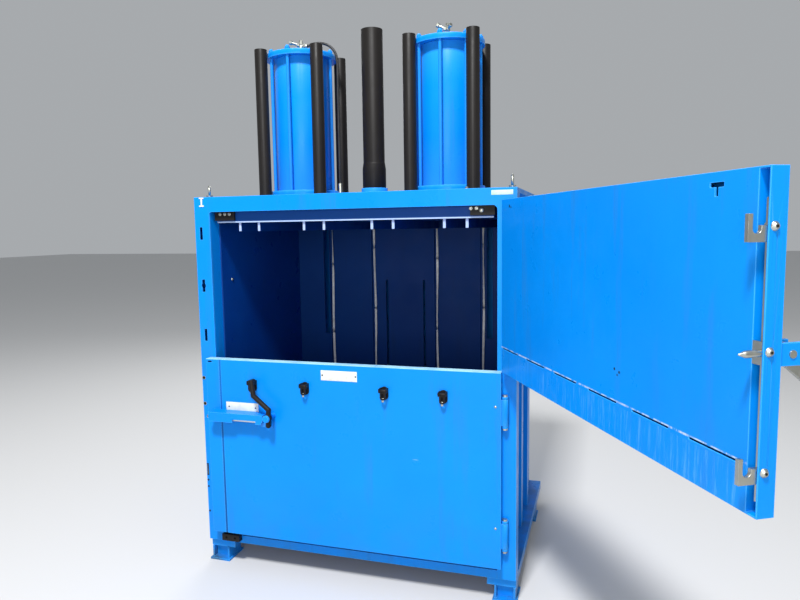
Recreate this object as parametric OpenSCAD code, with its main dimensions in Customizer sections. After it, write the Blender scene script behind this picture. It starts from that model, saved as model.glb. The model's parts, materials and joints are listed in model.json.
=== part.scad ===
// Upright recycling baler with two hydraulic cylinders, a press plate and two
// side-hinged front doors. Millimetres. X runs along the front, Y to the back
// and Z up. The origin lies on the floor, in the middle of the four anchor holes.
// Modelled at rest: plate up, feed door swung open, bale door shut.

/* [Frame] */
// Width over the front posts
frame_w = 1488; // [1470:1:1510]
// Height of the roof above the floor
frame_h = 1760; // [1755:1:1790]
// Distance of the front face from the anchor centre
front_reach = 485; // [480:1:500]
// Depth of the machine from the front face to the rear edge
frame_d = 1157; // [1140:1:1200]
// Width of each front post
post_w = 79; // [76:1:82]
// Depth of each front post behind the face plate
post_d = 74; // [70:1:80]
// Height of the face above the feed opening
header_h = 69; // [60:1:75]
// Radius of the upper right corner of the feed opening
opening_r = 20; // [12:1:40]
// Radius of the upper left corner of the feed opening
opening_left_r = 9; // [6:1:20]
// Thickness of the face plate
face_t = 6; // [5:0.5:8]
// Thickness of the bent steel sections
section_t = 5; // [4:0.5:6]
// Underside of the posts above the floor
base_z = 107; // [104:1:112]
// Top of the front sill above the floor
sill_top = 144; // [140:1:150]

/* [Base] */
// Width of each skid channel
skid_w = 127; // [115:1:135]
// Height of each skid channel
skid_h = 41; // [36:1:45]
// Length of a foot plate across the machine
foot_w = 106; // [90:1:120]
// Length of a foot plate from front to back
foot_d = 133; // [110:1:145]
// Thickness of a foot plate
foot_t = 10; // [8:1:14]
// Distance of an anchor hole from the side of the frame
anchor_in = 49; // [44:1:59]
// Distance between the front and the rear anchor holes
anchor_y = 830; // [810:1:860]
// Diameter of an anchor hole
anchor_hole_d = 18; // [14:1:20]

/* [Chamber] */
// Thickness of the side and rear walls
wall_t = 6; // [4:0.5:8]
// Distance of the rear wall behind the front face
chamber_d = 916; // [900:1:930]
// Thickness of the cross flats under the chamber floor
cross_t = 9; // [6:1:11]
// Thickness of the chamber floor
floor_t = 24; // [20:1:26]
// Width of the strap grooves in the floor and the rear wall
groove_w = 30; // [26:1:31]
// Depth of the strap grooves
groove_d = 13; // [11:1:14]
// Distance of the outer strap grooves from the middle
strap_outer = 446; // [440:1:447]
// Distance of the inner strap grooves from the middle
strap_inner = 186; // [180:1:205]
// Diameter of a strap as it hangs, twisted
strap_w = 12; // [8:1:12]
// Sheet left between a strap channel and the wide slot beside it
slot_margin = 2; // [2:1:12]
// Width of the wide slots in the rear wall
wide_slot_w = 32; // [24:1:36]
// Distance of the narrow slots in the rear wall from the middle
narrow_slot_x = 110; // [95:1:125]
// Width of the narrow slots in the rear wall
narrow_slot_w = 12; // [8:1:16]

/* [Cylinders] */
// Distance of each press cylinder from the middle
cyl_x = 371; // [368:1:374]
// Distance of the cylinders behind the front face
cyl_y = 415; // [405:1:425]
// Outer diameter of a cylinder barrel
barrel_d = 270; // [262:1:276]
// Bore of a cylinder
bore_d = 240; // [225:1:245]
// Diameter of the cap plate on a cylinder
cap_d = 342; // [338:1:344]
// Thickness of the cap plate
cap_t = 24; // [20:1:30]
// Height of the cap plates above the roof
cap_rise = 694; // [680:1:710]
// Radius of the circle of tie rods
tie_r = 153; // [150:1:156]
// Diameter of a tie rod
tie_d = 16; // [12:1:18]
// Number of tie rods on each cylinder
tie_count = 8; // [6:1:8]
// Offset of the guard tubes from the cylinder axis, both ways
guard_off = 145; // [145:1:147]
// Outer diameter of a guard tube
guard_d = 60; // [56:1:62]
// Height of the guard tubes above the roof
guard_rise = 706; // [690:1:720]
// Outer diameter of the middle guard tube
centre_d = 104; // [98:1:108]
// Height of the middle guard tube above the roof
centre_rise = 787; // [770:1:810]
// Thickness of the guard tube walls
guard_t = 4; // [3:0.5:5]
// Diameter of a hydraulic hose
hose_d = 13; // [11:1:15]

/* [Press] */
// Gap between the press plate and each side wall
plate_gap = 14; // [10:1:24]
// Gap between the press plate and the rear wall
plate_back = 52; // [42:1:82]
// Distance of the plate's front edge behind the front face
plate_front = 34; // [30:1:40]
// Height of the rim of the press plate
plate_h = 50; // [45:1:54]
// Underside of the raised press plate below the roof
plate_drop = 119; // [110:1:125]
// Thickness of the bars under the press plate
bar_t = 12; // [8:1:16]
// Height of the bars under the press plate
bar_h = 40; // [30:1:48]
// Distance between the two bars of a pair
bar_gap = 97; // [80:1:110]
// Diameter of a piston rod
rod_d = 80; // [70:1:90]
// Diameter of a guide rod
guide_d = 44; // [38:1:46]

/* [Doors] */
// Distance of the hinge axis from the outside of the right post
hinge_inset = 44; // [42:1:46]
// Distance of the hinge axis in front of the front face
hinge_out = 22.5; // [22.5:0.5:24]
// Thickness of each door
door_t = 41; // [39:0.5:41]
// Thickness of the door sheet
sheet_t = 4; // [3:0.5:5]
// Gap between a shut door and the front face
door_gap = 2; // [1.5:0.5:3]
// Distance from the hinge axis to the near edge of a door
door_edge = 14; // [14:0.5:16]
// Gap between the bale door and the feed door above it
door_split = 5; // [4:1:9]
// Distance of the top of the feed door below the roof
upper_drop = 51; // [40:1:60]
// Distance of the feed door's end flange from the outside of the left post, when shut
upper_margin = 22; // [20:1:24]
// Angle at which the feed door stands open
upper_open = 119; // [90:1:150]
// Underside of the bale door above the floor
lower_z = 173; // [170:1:180]
// Top of the bale door above the floor
lower_top = 1013; // [1005:1:1014]
// Distance of the bale door's free edge from the outside of the left post
lower_margin = 53; // [51:1:55]
// Length of a hinge knuckle
knuckle_h = 110; // [90:1:120]
// Diameter of a hinge knuckle
knuckle_d = 27; // [26:0.5:28]
// Diameter of a hinge pin
pin_d = 15; // [12:0.5:16]

/* [Latches] */
// Height of a latch hook
hook_h = 54; // [50:1:56]
// Thickness of a latch hook
hook_t = 10; // [8:1:10]
// Reach of a latch hook beyond the inner face of its door
hook_reach = 41; // [40:1:42]
// Travel of a latch
latch_travel = 20; // [14:1:20]
// Diameter of a keeper pin in the left post
keeper_d = 15; // [12:1:15]
// Width of a latch slot in the left post
slot_w = 15; // [14.5:0.5:16]
// Length of a latch slot in the left post
slot_h = 58; // [57:1:60]
// Length of the latch cover on the bale door
cover_len = 280; // [260:1:300]
// Height of the latch cover
cover_h = 43; // [38:1:48]
// Reach of the latch cover in front of the bale door
cover_out = 57; // [50:1:62]
// Diameter of the pull rod under the latch cover
pull_d = 12; // [10:1:13]
// Diameter of the bent lever on the bale door
arm_d = 22; // [18:1:25]
// Width of a strap clamp
clamp_w = 36; // [32:1:44]
// Height of a strap clamp
clamp_h = 58; // [52:1:66]

/* [Hidden] */
$fn = 48;

blue = [0.03, 0.53, 0.95];
dark_blue = [0.02, 0.35, 0.7];
black = [0.09, 0.09, 0.1];
zinc = [0.72, 0.72, 0.68];
steel = [0.6, 0.6, 0.6];
white = [0.92, 0.92, 0.9];
strap_white = [0.82, 0.83, 0.8];

// Small allowances between pieces
run = 0.05;
clear = 0.5;
eps = 1;

// Places along the depth of the machine
front_y = -front_reach;
back_y = front_y + frame_d;
half_w = frame_w / 2;
post_in = half_w - post_w;
post_y = front_y + face_t;
post_back = post_y + post_d;
wall_y = front_y + chamber_d;
wall_out = post_in;
chamber_half = wall_out - wall_t;
floor_top = base_z + cross_t + floor_t;
open_top = frame_h - header_h;

// Roof, header and rear frame
roof_t = 20;
roof_z = frame_h - roof_t;
beam_gap = 14;
beam_z = open_top + beam_gap;
rear_post_w = 78;
rear_lip = 12;
rear_out = wall_out + rear_lip;
rib_w = 60;
rib_reach = 40;
rib_ys = [71, 335];
cover_y = back_y - 32;

// Straps, their channels and their guides
channel_t = 4;
wide_slot_x = strap_outer + groove_w / 2 + channel_t + slot_margin + wide_slot_w / 2;
strap_xs = [-strap_outer, -strap_inner, strap_inner, strap_outer];
guide_z = frame_h - 160;
guide_top = guide_z + 40;
strap_y = wall_y + groove_d / 2;
strap_floor = floor_top - groove_d / 2;
strap_bend = 30;
strap_front = post_back + 12;

// Cylinders
axis_cy = front_y + cyl_y;
head_t = 35;
head_top = frame_h + head_t;
cap_top = frame_h + cap_rise;
guard_top = frame_h + guard_rise;
centre_top = frame_h + centre_rise;
cap_z = cap_top - cap_t;
gland_d = 120;
nut_h = 13;
guard_flange_t = 10;
guard_lip = 6;
centre_flange_t = 12;
socket_d = centre_d + 10;
socket_h = 150;
piston_h = 40;
piston_top_gap = 5;
port_d = 26;
cyl_signs = [-1, 1];

// Hoses: the cap elbows, the sockets on the roof and the routes between them
elbow_z = 50;
elbow_reach = 34;
hose_foot_h = 70;
hose_x = -cyl_x + 190;
hose_y = axis_cy + 190;
left_hose_foot = [hose_x, axis_cy, frame_h + hose_foot_h];
right_hose_foot = [cyl_x, hose_y, frame_h + hose_foot_h];
left_hose_start = [-cyl_x + elbow_reach, axis_cy, cap_top + elbow_z];
right_hose_start = [cyl_x, axis_cy + elbow_reach, cap_top + elbow_z];
left_hose_points = [[-cyl_x + 44, axis_cy, cap_top + 50], [-cyl_x + 80, axis_cy, cap_top + 58],
    [-cyl_x + 131, axis_cy, cap_top + 50], [-cyl_x + 173, axis_cy, cap_top + 18],
    [hose_x, axis_cy, cap_top - 40], [hose_x, axis_cy, cap_top - 204], [hose_x, axis_cy, cap_top - 454],
    left_hose_foot];
right_hose_points = [[cyl_x, axis_cy + 44, cap_top + 50], [cyl_x, axis_cy + 80, cap_top + 58],
    [cyl_x, axis_cy + 131, cap_top + 50], [cyl_x, axis_cy + 173, cap_top + 18], [cyl_x, hose_y, cap_top - 40],
    [cyl_x, hose_y, cap_top - 204], [cyl_x, hose_y, cap_top - 454], right_hose_foot];

// Press plate
plate_y = front_y + plate_front;
plate_d = wall_y - plate_back - plate_y;
plate_z = frame_h - plate_drop;
plate_top = plate_z + plate_h;
plate_w = 2 * (chamber_half - plate_gap);
skin_t = 20;
rim_t = 12;
bar_pairs = [for (i = [-3 : 2 : 3]) i * plate_w / 8];
pad_w = 102;
pad_t = 12;
pad_h = 40;
pad_over = 6;
pad_x = plate_w / 2 + pad_over - pad_w / 2;
rod_top = cap_z - piston_top_gap;

// Doors and their hinges
hinge_x = half_w - hinge_inset;
upper_z = lower_top + door_split;
upper_top = frame_h - upper_drop;
upper_len = hinge_x + half_w - upper_margin;
lower_len = hinge_x + half_w - lower_margin;
axis_y = front_y - hinge_out;
inner_y = hinge_out - door_gap;
outer_y = inner_y - door_t;
lug_t = 10;
lug_gap = 1;
pin_head_h = 8;
pin_head_d = 22;
upper_knuckle_z = [upper_z + 57, upper_top - 164];
lower_knuckle_z = [lower_z + 86, lower_top - 224];
knuckle_zs = concat(lower_knuckle_z, upper_knuckle_z);

// Latches: the hooks' lower edges, and the places of the latch bars
upper_hook_z = [upper_z + 71, upper_top - 144];
lower_hook_z = [lower_z + 117, lower_top - 173];
stud_z = (upper_z + upper_top) / 2 - 13.5;
stud_d = 15;
stud_reach = 48;
flange_gap = 0.4;
upper_bar_u = upper_len - sheet_t - flange_gap - hook_t;
lower_bar_u = lower_len - sheet_t - flange_gap - hook_t;
upper_recess_u = upper_len - 30;
lower_recess_u = lower_len - 26;
upper_slot_x = hinge_x - upper_bar_u - hook_t / 2;
lower_slot_x = hinge_x - lower_bar_u - hook_t / 2;
keeper_gap = 3;
hook_foot = 16;
hook_neck_h = 32;
hook_inner = 12;
hook_outer = 10;

// The feed door: guide bolts, latch bar edge and handle pivot
bolt_zs = [upper_hook_z[0] + 23, stud_z + 3, upper_hook_z[1] + 30];
upper_bar_z = [upper_z + 32, upper_top - 59];
lower_bar_z = [lower_z + 77, lower_top - 83];
bolt_v = inner_y - 14;
bolt_shank_d = 10;
bar_v = inner_y - 5;
handle_u = upper_len - 30;
handle_z = stud_z - 5;
handle_out = 32;
handle_drop = 38;
handle_pin_d = 16;
cheek_off = 19;
lever_len = 95;

// The bale door: its latch cover, pull rod and lever, and the strap clamps
cover_in = 89;
cover_drop = 280;
cover_x = -half_w + cover_in;
cover_wall = 5;
cover_z = lower_top - cover_drop;
notch_h = 15;
notch_ends = [123, 243];
pivot_in = 394;
pivot_x = -half_w + pivot_in;
pivot_z = cover_z + 33;
pivot_d = 16;
hub_d = 34;
hub_w = 24;
hub_out = cover_out - hub_w / 2;
crank = 33;
pull_z = cover_z + 11;
pull_out = cover_out - cover_wall - pull_d / 2 - 1;
pull_start = cover_x + 50;
crank_pin_d = 9;
crank_t = 6;
crank_back = hub_out - 3;
clamp_z = lower_top - 142;
clamp_base = 5;
clamp_out = 24;
clamp_pin_z = clamp_z + clamp_h - 14;
clamp_pin_d = 8;
clamp_ear_t = 5;

// A straight pipe standing on the given height
module pipe(outer_d, inner_d, h) {
    difference() {
        cylinder(h = h, d = outer_d);
        translate([0, 0, -eps])
            cylinder(h = h + 2 * eps, d = inner_d);
    }
}

// A box given by its lower and its upper corner
module block(lo, hi) {
    translate(lo)
        cube([hi[0] - lo[0], hi[1] - lo[1], hi[2] - lo[2]]);
}

// The same shape on the left and on the right
module both_sides() {
    children();
    mirror([1, 0, 0])
        children();
}

// A hexagon nut or bolt head with its base at the origin
module hexagon(d, h) {
    cylinder(h = h, d = d, $fn = 6);
}

// An open channel: web of width w on the base plane, flanges of height h
module channel(w, h, len) {
    difference() {
        cube([w, h, len]);
        translate([section_t, section_t, -eps])
            cube([w - 2 * section_t, h, len + 2 * eps]);
    }
}

// Two skid channels and the flats that tie them together
module base_frame() {
    inset = 20;
    cross_w = 100;
    color(blue) {
        both_sides()
            difference() {
                block([half_w - skid_w, front_y + inset, base_z - skid_h], [half_w, back_y, base_z]);
                block([half_w - skid_w + section_t, front_y + inset - eps, base_z - skid_h - eps],
                    [half_w - section_t, back_y + eps, base_z - section_t]);
            }
        for (y = [post_back + cross_w, 0, wall_y - 2 * cross_w])
            block([-chamber_half, y, base_z], [chamber_half, y + cross_w, base_z + cross_t]);
    }
}

// Foot plates with their anchor holes, each under two upright gussets
module foot_plates() {
    gusset_t = 8;
    gusset_in = 12;
    color(blue)
        for (sx = [-1, 1], sy = [-1, 1])
            translate([sx * (half_w - anchor_in), sy * anchor_y / 2, 0]) {
                difference() {
                    translate([-foot_w / 2, -foot_d / 2, 0])
                        cube([foot_w, foot_d, foot_t]);
                    translate([0, 0, -eps])
                        cylinder(h = foot_t + 2 * eps, d = anchor_hole_d);
                }
                for (side = [-1, 1])
                    translate([side * (foot_w / 2 - gusset_in), 0, 0])
                        block([-gusset_t / 2, -foot_d / 2 + gusset_in, foot_t],
                            [gusset_t / 2, foot_d / 2 - gusset_in, base_z - skid_h]);
            }
}

// Thick floor with a groove for each strap
module chamber_floor() {
    color(dark_blue)
        difference() {
            block([-chamber_half, post_back, floor_top - floor_t], [chamber_half, wall_y, floor_top]);
            for (x = strap_xs)
                block([x - groove_w / 2, post_back - eps, floor_top - groove_d],
                    [x + groove_w / 2, wall_y + eps, floor_top + eps]);
        }
}

// Bent sill behind the lower band of the face plate
module sill_beam() {
    color(blue)
        difference() {
            block([-post_in, post_y, base_z], [post_in, post_back, sill_top]);
            block([-post_in - eps, post_y + section_t, base_z - eps],
                [post_in + eps, post_back - section_t, sill_top - section_t]);
        }
}

// The clear window of the face plate, rounded at its upper corners
module window() {
    clear_w = 2 * post_in;
    union() {
        translate([-post_in, sill_top])
            square([clear_w, open_top - sill_top - opening_r]);
        translate([-post_in, sill_top])
            square([clear_w - opening_r, open_top - sill_top - opening_left_r]);
        translate([-post_in + opening_left_r, sill_top])
            square([clear_w - opening_r - opening_left_r, open_top - sill_top]);
        translate([-post_in + opening_left_r, open_top - opening_left_r])
            circle(r = opening_left_r);
        translate([post_in - opening_r, open_top - opening_r])
            circle(r = opening_r);
    }
}

// An upright slot through the face plate
module face_slot(x, z, w, h) {
    block([x - w / 2, front_y - eps, z], [x + w / 2, post_y + eps, z + h]);
}

// Face plate with the feed window, the latch slots and a keyhole for the stud
module front_frame() {
    keyhole_d = stud_d + 8;
    color(blue)
        difference() {
            translate([0, post_y, 0])
                rotate([90, 0, 0])
                    linear_extrude(face_t)
                        difference() {
                            translate([-half_w, base_z])
                                square([frame_w, frame_h - base_z]);
                            window();
                        }
            for (z = upper_hook_z)
                face_slot(upper_slot_x, z - eps, slot_w, slot_h);
            for (z = lower_hook_z)
                face_slot(lower_slot_x, z - eps, slot_w, slot_h);
            face_slot(upper_slot_x, stud_z - slot_h / 2, slot_w, slot_h);
            translate([upper_slot_x, post_y + eps, stud_z])
                rotate([90, 0, 0])
                    cylinder(h = face_t + 2 * eps, d = keyhole_d);
        }
}

// Post of bent sheet behind the face plate, open to the front
module post(x) {
    color(blue)
        translate([x, post_back, base_z])
            mirror([0, 1, 0])
                channel(post_w, post_d, roof_z - base_z);
}

module left_post() {
    post(-half_w);
}

module right_post() {
    post(post_in);
}

// Shallow beam under the front edge of the roof
module header_beam() {
    color(blue)
        difference() {
            block([-post_in, post_y, beam_z], [post_in, post_back, roof_z]);
            block([-post_in - eps, post_y + section_t, beam_z + section_t],
                [post_in + eps, post_back - section_t, roof_z - section_t]);
        }
}

// Plain side wall between the front post and the rear post
module side_wall() {
    color(blue)
        block([chamber_half, post_back, base_z], [wall_out, back_y - rear_post_w, roof_z]);
}

module left_wall() {
    mirror([1, 0, 0])
        side_wall();
}

module right_wall() {
    side_wall();
}

// Two upright channels on the outside of each side wall
module side_ribs() {
    color(blue)
        both_sides()
            for (y = rib_ys)
                difference() {
                    block([wall_out, y - rib_w / 2, base_z], [wall_out + rib_reach, y + rib_w / 2, roof_z]);
                    block([wall_out - eps, y - rib_w / 2 + section_t, base_z - eps],
                        [wall_out + rib_reach - section_t, y + rib_w / 2 - section_t, roof_z + eps]);
                }
}

// Rear wall with slots, and a channel behind each strap slot
module rear_wall() {
    wide_top = guide_z;
    wide_z = upper_z - 28;
    narrow_z = floor_top + 260;
    narrow_drop = 450;
    narrow_top = frame_h - narrow_drop;
    color(dark_blue) {
        difference() {
            block([-chamber_half, wall_y, base_z], [chamber_half, wall_y + wall_t, roof_z]);
            for (x = strap_xs)
                block([x - groove_w / 2, wall_y - eps, floor_top - groove_d],
                    [x + groove_w / 2, wall_y + wall_t + eps, guide_top]);
            for (side = [-1, 1]) {
                block([side * wide_slot_x - wide_slot_w / 2, wall_y - eps, wide_z],
                    [side * wide_slot_x + wide_slot_w / 2, wall_y + wall_t + eps, wide_top]);
                block([side * narrow_slot_x - narrow_slot_w / 2, wall_y - eps, narrow_z],
                    [side * narrow_slot_x + narrow_slot_w / 2, wall_y + wall_t + eps, narrow_top]);
            }
        }
        for (x = strap_xs)
            strap_channel(x);
    }
}

// The bent back of one strap channel
module strap_channel(x) {
    difference() {
        block([x - groove_w / 2 - channel_t, wall_y + wall_t, base_z],
            [x + groove_w / 2 + channel_t, wall_y + groove_d + channel_t, guide_top]);
        block([x - groove_w / 2, wall_y + wall_t - eps, base_z - eps],
            [x + groove_w / 2, wall_y + groove_d, guide_top + eps]);
    }
}

// Rear corner posts, open towards the middle of the machine
module rear_posts() {
    color(blue)
        both_sides()
            difference() {
                block([rear_out - rear_post_w, back_y - rear_post_w, base_z], [rear_out, back_y, roof_z]);
                block([rear_out - rear_post_w - eps, back_y - rear_post_w + section_t, base_z - eps],
                    [rear_out - section_t, back_y - section_t, roof_z + eps]);
            }
}

// Cover over the rear compartment, with shallow pressed grooves
module rear_cover() {
    slot_n = 9;
    slot_pitch = 28;
    vent_w = 320;
    vent_h = 9;
    vent_drop = 580;
    vent_z = frame_h - vent_drop;
    groove_t = 3;
    side_x = rear_out - rear_post_w;
    color(blue)
        difference() {
            block([-side_x, cover_y, base_z], [side_x, cover_y + section_t, roof_z]);
            for (x = [-1, 1], i = [0 : slot_n - 1])
                translate([x * side_x / 2, 0, vent_z + i * slot_pitch])
                    block([-vent_w / 2, cover_y + section_t - groove_t, 0],
                        [vent_w / 2, cover_y + section_t + eps, vent_h]);
        }
}

// Roof plate with the openings for the rods
module roof_plate() {
    rod_hole_d = gland_d + 10;
    guide_hole_d = guide_d + 12;
    centre_hole_d = centre_d - 2 * guard_t;
    color(blue)
        difference() {
            block([-half_w, post_y, roof_z], [half_w, back_y, frame_h]);
            for (side = cyl_signs) {
                translate([side * cyl_x, axis_cy, roof_z - eps])
                    cylinder(h = roof_t + 2 * eps, d = rod_hole_d);
                at_guards(side)
                    translate([0, 0, roof_z - eps])
                        cylinder(h = roof_t + 2 * eps, d = guide_hole_d);
            }
            translate([0, axis_cy, roof_z - eps])
                cylinder(h = roof_t + 2 * eps, d = centre_hole_d);
        }
}

// The four places of the guard tubes round one cylinder
module at_guards(side) {
    for (sx = [-1, 1], sy = [-1, 1])
        translate([side * cyl_x + sx * guard_off, axis_cy + sy * guard_off, 0])
            children();
}

// The places of the tie rods round one cylinder, the first at the front
module at_ties(side) {
    for (i = [0 : tie_count - 1])
        translate([side * cyl_x, axis_cy, 0])
            rotate([0, 0, i * 360 / tie_count - 90])
                translate([tie_r, 0, 0])
                    children();
}

// Lower heads of both cylinders, bored for the piston rods
module cylinder_heads() {
    color(blue)
        for (side = cyl_signs)
            difference() {
                union() {
                    translate([side * cyl_x, axis_cy, frame_h])
                        cylinder(h = head_t, d = cap_d);
                    translate([side * cyl_x, axis_cy, roof_z])
                        cylinder(h = roof_t, d = gland_d);
                }
                translate([side * cyl_x, axis_cy, roof_z - eps])
                    cylinder(h = roof_t + head_t + 2 * eps, d = rod_d + 2 * run);
                at_ties(side)
                    translate([0, 0, frame_h - eps])
                        cylinder(h = head_t + 2 * eps, d = tie_d);
            }
}

// One cylinder barrel between its head and its cap
module barrel(side) {
    color(blue)
        translate([side * cyl_x, axis_cy, head_top])
            pipe(barrel_d, bore_d, cap_z - head_top);
}

module left_barrel() {
    barrel(-1);
}

module right_barrel() {
    barrel(1);
}

// Round caps drilled for the tie rods, with a spigot in the bore and a port
module cylinder_caps() {
    spigot_h = 3;
    color(blue)
        for (side = cyl_signs)
            difference() {
                union() {
                    translate([side * cyl_x, axis_cy, cap_z])
                        cylinder(h = cap_t, d = cap_d);
                    translate([side * cyl_x, axis_cy, cap_z - spigot_h])
                        cylinder(h = spigot_h, d = bore_d);
                }
                at_ties(side)
                    translate([0, 0, cap_z - spigot_h - eps])
                        cylinder(h = cap_t + spigot_h + 2 * eps, d = tie_d);
                translate([side * cyl_x, axis_cy, cap_z - spigot_h - eps])
                    cylinder(h = cap_t + spigot_h + 2 * eps, d = port_d / 2);
            }
}

// Tie rods from head to cap, each with a nut on top
module tie_rods() {
    rod_over = 20;
    across = 26;
    color(blue)
        for (side = cyl_signs)
            at_ties(side) {
                translate([0, 0, frame_h])
                    cylinder(h = cap_top + rod_over - frame_h, d = tie_d);
                translate([0, 0, cap_top])
                    hexagon(across, nut_h);
            }
}

// Four guard tubes round one cylinder, each on a bolted flange
module guard_tubes(side) {
    bush_d = guide_d + 2;
    color(black)
        at_guards(side) {
            translate([0, 0, frame_h])
                pipe(guard_d, guard_d - 2 * guard_t, guard_top - frame_h);
            translate([0, 0, frame_h])
                difference() {
                    cylinder(h = guard_flange_t, d = guard_d + guard_lip);
                    translate([0, 0, -eps])
                        cylinder(h = guard_flange_t + 2 * eps, d = bush_d);
                }
        }
}

module left_guard_tubes() {
    guard_tubes(-1);
}

module right_guard_tubes() {
    guard_tubes(1);
}

// Middle guard tube with its wider socket
module centre_guard_tube() {
    cone_h = 30;
    color(black)
        translate([0, axis_cy, frame_h + centre_flange_t]) {
            pipe(centre_d, centre_d - 2 * guard_t, centre_top - frame_h - centre_flange_t);
            pipe(socket_d, centre_d, socket_h - cone_h);
            translate([0, 0, socket_h - cone_h])
                difference() {
                    cylinder(h = cone_h, d1 = socket_d, d2 = centre_d + 1);
                    translate([0, 0, -eps])
                        cylinder(h = cone_h + 2 * eps, d = centre_d);
                }
        }
}

// Blue collar that holds the middle tube to the roof
module guide_collar() {
    collar_h = 40;
    collar_d = socket_d + 14;
    foot_ring_d = collar_d + 40;
    color(blue)
        translate([0, axis_cy, frame_h]) {
            pipe(foot_ring_d, centre_d - 2 * guard_t, centre_flange_t);
            translate([0, 0, centre_flange_t])
                pipe(collar_d, socket_d, collar_h - centre_flange_t);
        }
}

// Two lifting eyes on the roof, each turned on its thread as it was left
module lifting_eyes() {
    eye_y = front_y + 85;
    eye_x = half_w - 30;
    ring_r = 20;
    wire_d = 12;
    shank_d = 30;
    shank_h = 12;
    eye_turns = [[-1, 33], [1, 7]];
    color(zinc)
        for (eye = eye_turns)
            translate([eye[0] * eye_x, eye_y, frame_h])
                rotate([0, 0, eye[1]]) {
                    cylinder(h = shank_h, d = shank_d);
                    translate([0, 0, shank_h + ring_r])
                        rotate([0, 90, 0])
                            rotate_extrude()
                                translate([ring_r, 0])
                                    circle(d = wire_d);
                }
}

// Elbow fittings on the caps and straight ones on the roof
module hose_fittings() {
    body_d = port_d - 4;
    arm_end_d = port_d - 8;
    base_nut_h = port_d / 2;
    arm_nut_h = 10;
    foot_nut_h = 18;
    color(zinc) {
        for (side = cyl_signs)
            translate([side * cyl_x, axis_cy, cap_top]) {
                hexagon(port_d + 4, base_nut_h);
                cylinder(h = elbow_z, d = body_d);
                translate([0, 0, elbow_z])
                    sphere(d = body_d);
                translate([0, 0, elbow_z])
                    rotate([side < 0 ? 0 : -90, side < 0 ? 90 : 0, 0]) {
                        cylinder(h = elbow_reach, d = arm_end_d);
                        translate([0, 0, elbow_reach / 2])
                            hexagon(port_d, arm_nut_h);
                    }
            }
        for (foot = [left_hose_foot, right_hose_foot])
            translate([foot[0], foot[1], frame_h]) {
                hexagon(port_d, foot_nut_h);
                cylinder(h = hose_foot_h, d = hose_d + 5);
            }
    }
}

// A smooth curve through the given points
function blend(a, b, c, d, t) =
    0.5 * (2 * b + (c - a) * t + (2 * a - 5 * b + 4 * c - d) * t * t + (3 * b - a - 3 * c + d) * t * t * t);
function smooth(p, n) = concat(
    [for (i = [0 : len(p) - 2], k = [0 : n - 1])
        blend(p[max(i - 1, 0)], p[i], p[i + 1], p[min(i + 2, len(p) - 1)], k / n)],
    [p[len(p) - 1]]);
function unit(v) = v / norm(v);
function heading(p, i) = unit(p[min(i + 1, len(p) - 1)] - p[max(i - 1, 0)]);

// A round cord along points that lie in one plane with the given normal
module cord(p, d, normal, sides = 10) {
    n = len(p);
    rings = [for (i = [0 : n - 1], k = [0 : sides - 1])
        p[i] + d / 2 * (cos(k * 360 / sides) * normal
            + sin(k * 360 / sides) * cross(heading(p, i), normal))];
    walls = [for (i = [0 : n - 2], k = [0 : sides - 1])
        [i * sides + k, (i + 1) * sides + k, (i + 1) * sides + (k + 1) % sides, i * sides + (k + 1) % sides]];
    caps = [[for (k = [0 : sides - 1]) k], [for (k = [sides - 1 : -1 : 0]) (n - 1) * sides + k]];
    polyhedron(points = rings, faces = concat(walls, caps), convexity = 6);
}

// Hose from the left cap, over its edge and down beside the barrel
module left_hose() {
    color(black)
        cord(concat([left_hose_start], smooth(left_hose_points, 5)), hose_d, [0, 1, 0]);
}

// Hose from the right cap, to the back and down behind the barrel
module right_hose() {
    color(black)
        cord(concat([right_hose_start], smooth(right_hose_points, 5)), hose_d, [1, 0, 0]);
}

// Guides that the straps come out of, at the top of the rear wall
module strap_guides() {
    lip = 20;
    color(black)
        for (x = strap_xs)
            block([x - groove_w / 2, wall_y - lip, guide_z],
                [x + groove_w / 2, wall_y + groove_d, guide_top]);
}

// One strap, down its channel and forward along its groove in the floor
module strap(x) {
    turn = [for (a = [0 : 15 : 90])
        [x, strap_y - strap_bend + strap_bend * cos(a), strap_floor + strap_bend - strap_bend * sin(a)]];
    color(strap_white)
        cord(concat([[x, strap_y, guide_z]], turn, [[x, strap_front, strap_floor]]), strap_w, [1, 0, 0]);
}

module strap_1() {
    strap(strap_xs[0]);
}

module strap_2() {
    strap(strap_xs[1]);
}

module strap_3() {
    strap(strap_xs[2]);
}

module strap_4() {
    strap(strap_xs[3]);
}

// Cross pins inside the left post that the door hooks catch
module keeper_pins() {
    keeper_y = front_y - door_gap + (hook_inner + hook_reach - hook_outer) / 2;
    color(zinc)
        for (z = concat(upper_hook_z, lower_hook_z))
            translate([-half_w + section_t, keeper_y, z + hook_h + keeper_gap + keeper_d / 2])
                rotate([0, 90, 0])
                    cylinder(h = post_w - 2 * section_t, d = keeper_d);
}

// Pairs of lugs on the right post, above and below each knuckle
module hinge_lugs() {
    lug_w = 2 * (door_edge - eps);
    color(blue)
        for (z = knuckle_zs, up = [0, 1])
            translate([hinge_x, axis_y, z + (up == 0 ? -lug_gap - lug_t : knuckle_h + lug_gap)])
                difference() {
                    union() {
                        cylinder(h = lug_t, d = lug_w);
                        translate([-lug_w / 2, 0, 0])
                            cube([lug_w, hinge_out, lug_t]);
                    }
                    translate([0, 0, -eps])
                        cylinder(h = lug_t + 2 * eps, d = pin_d);
                }
}

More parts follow.
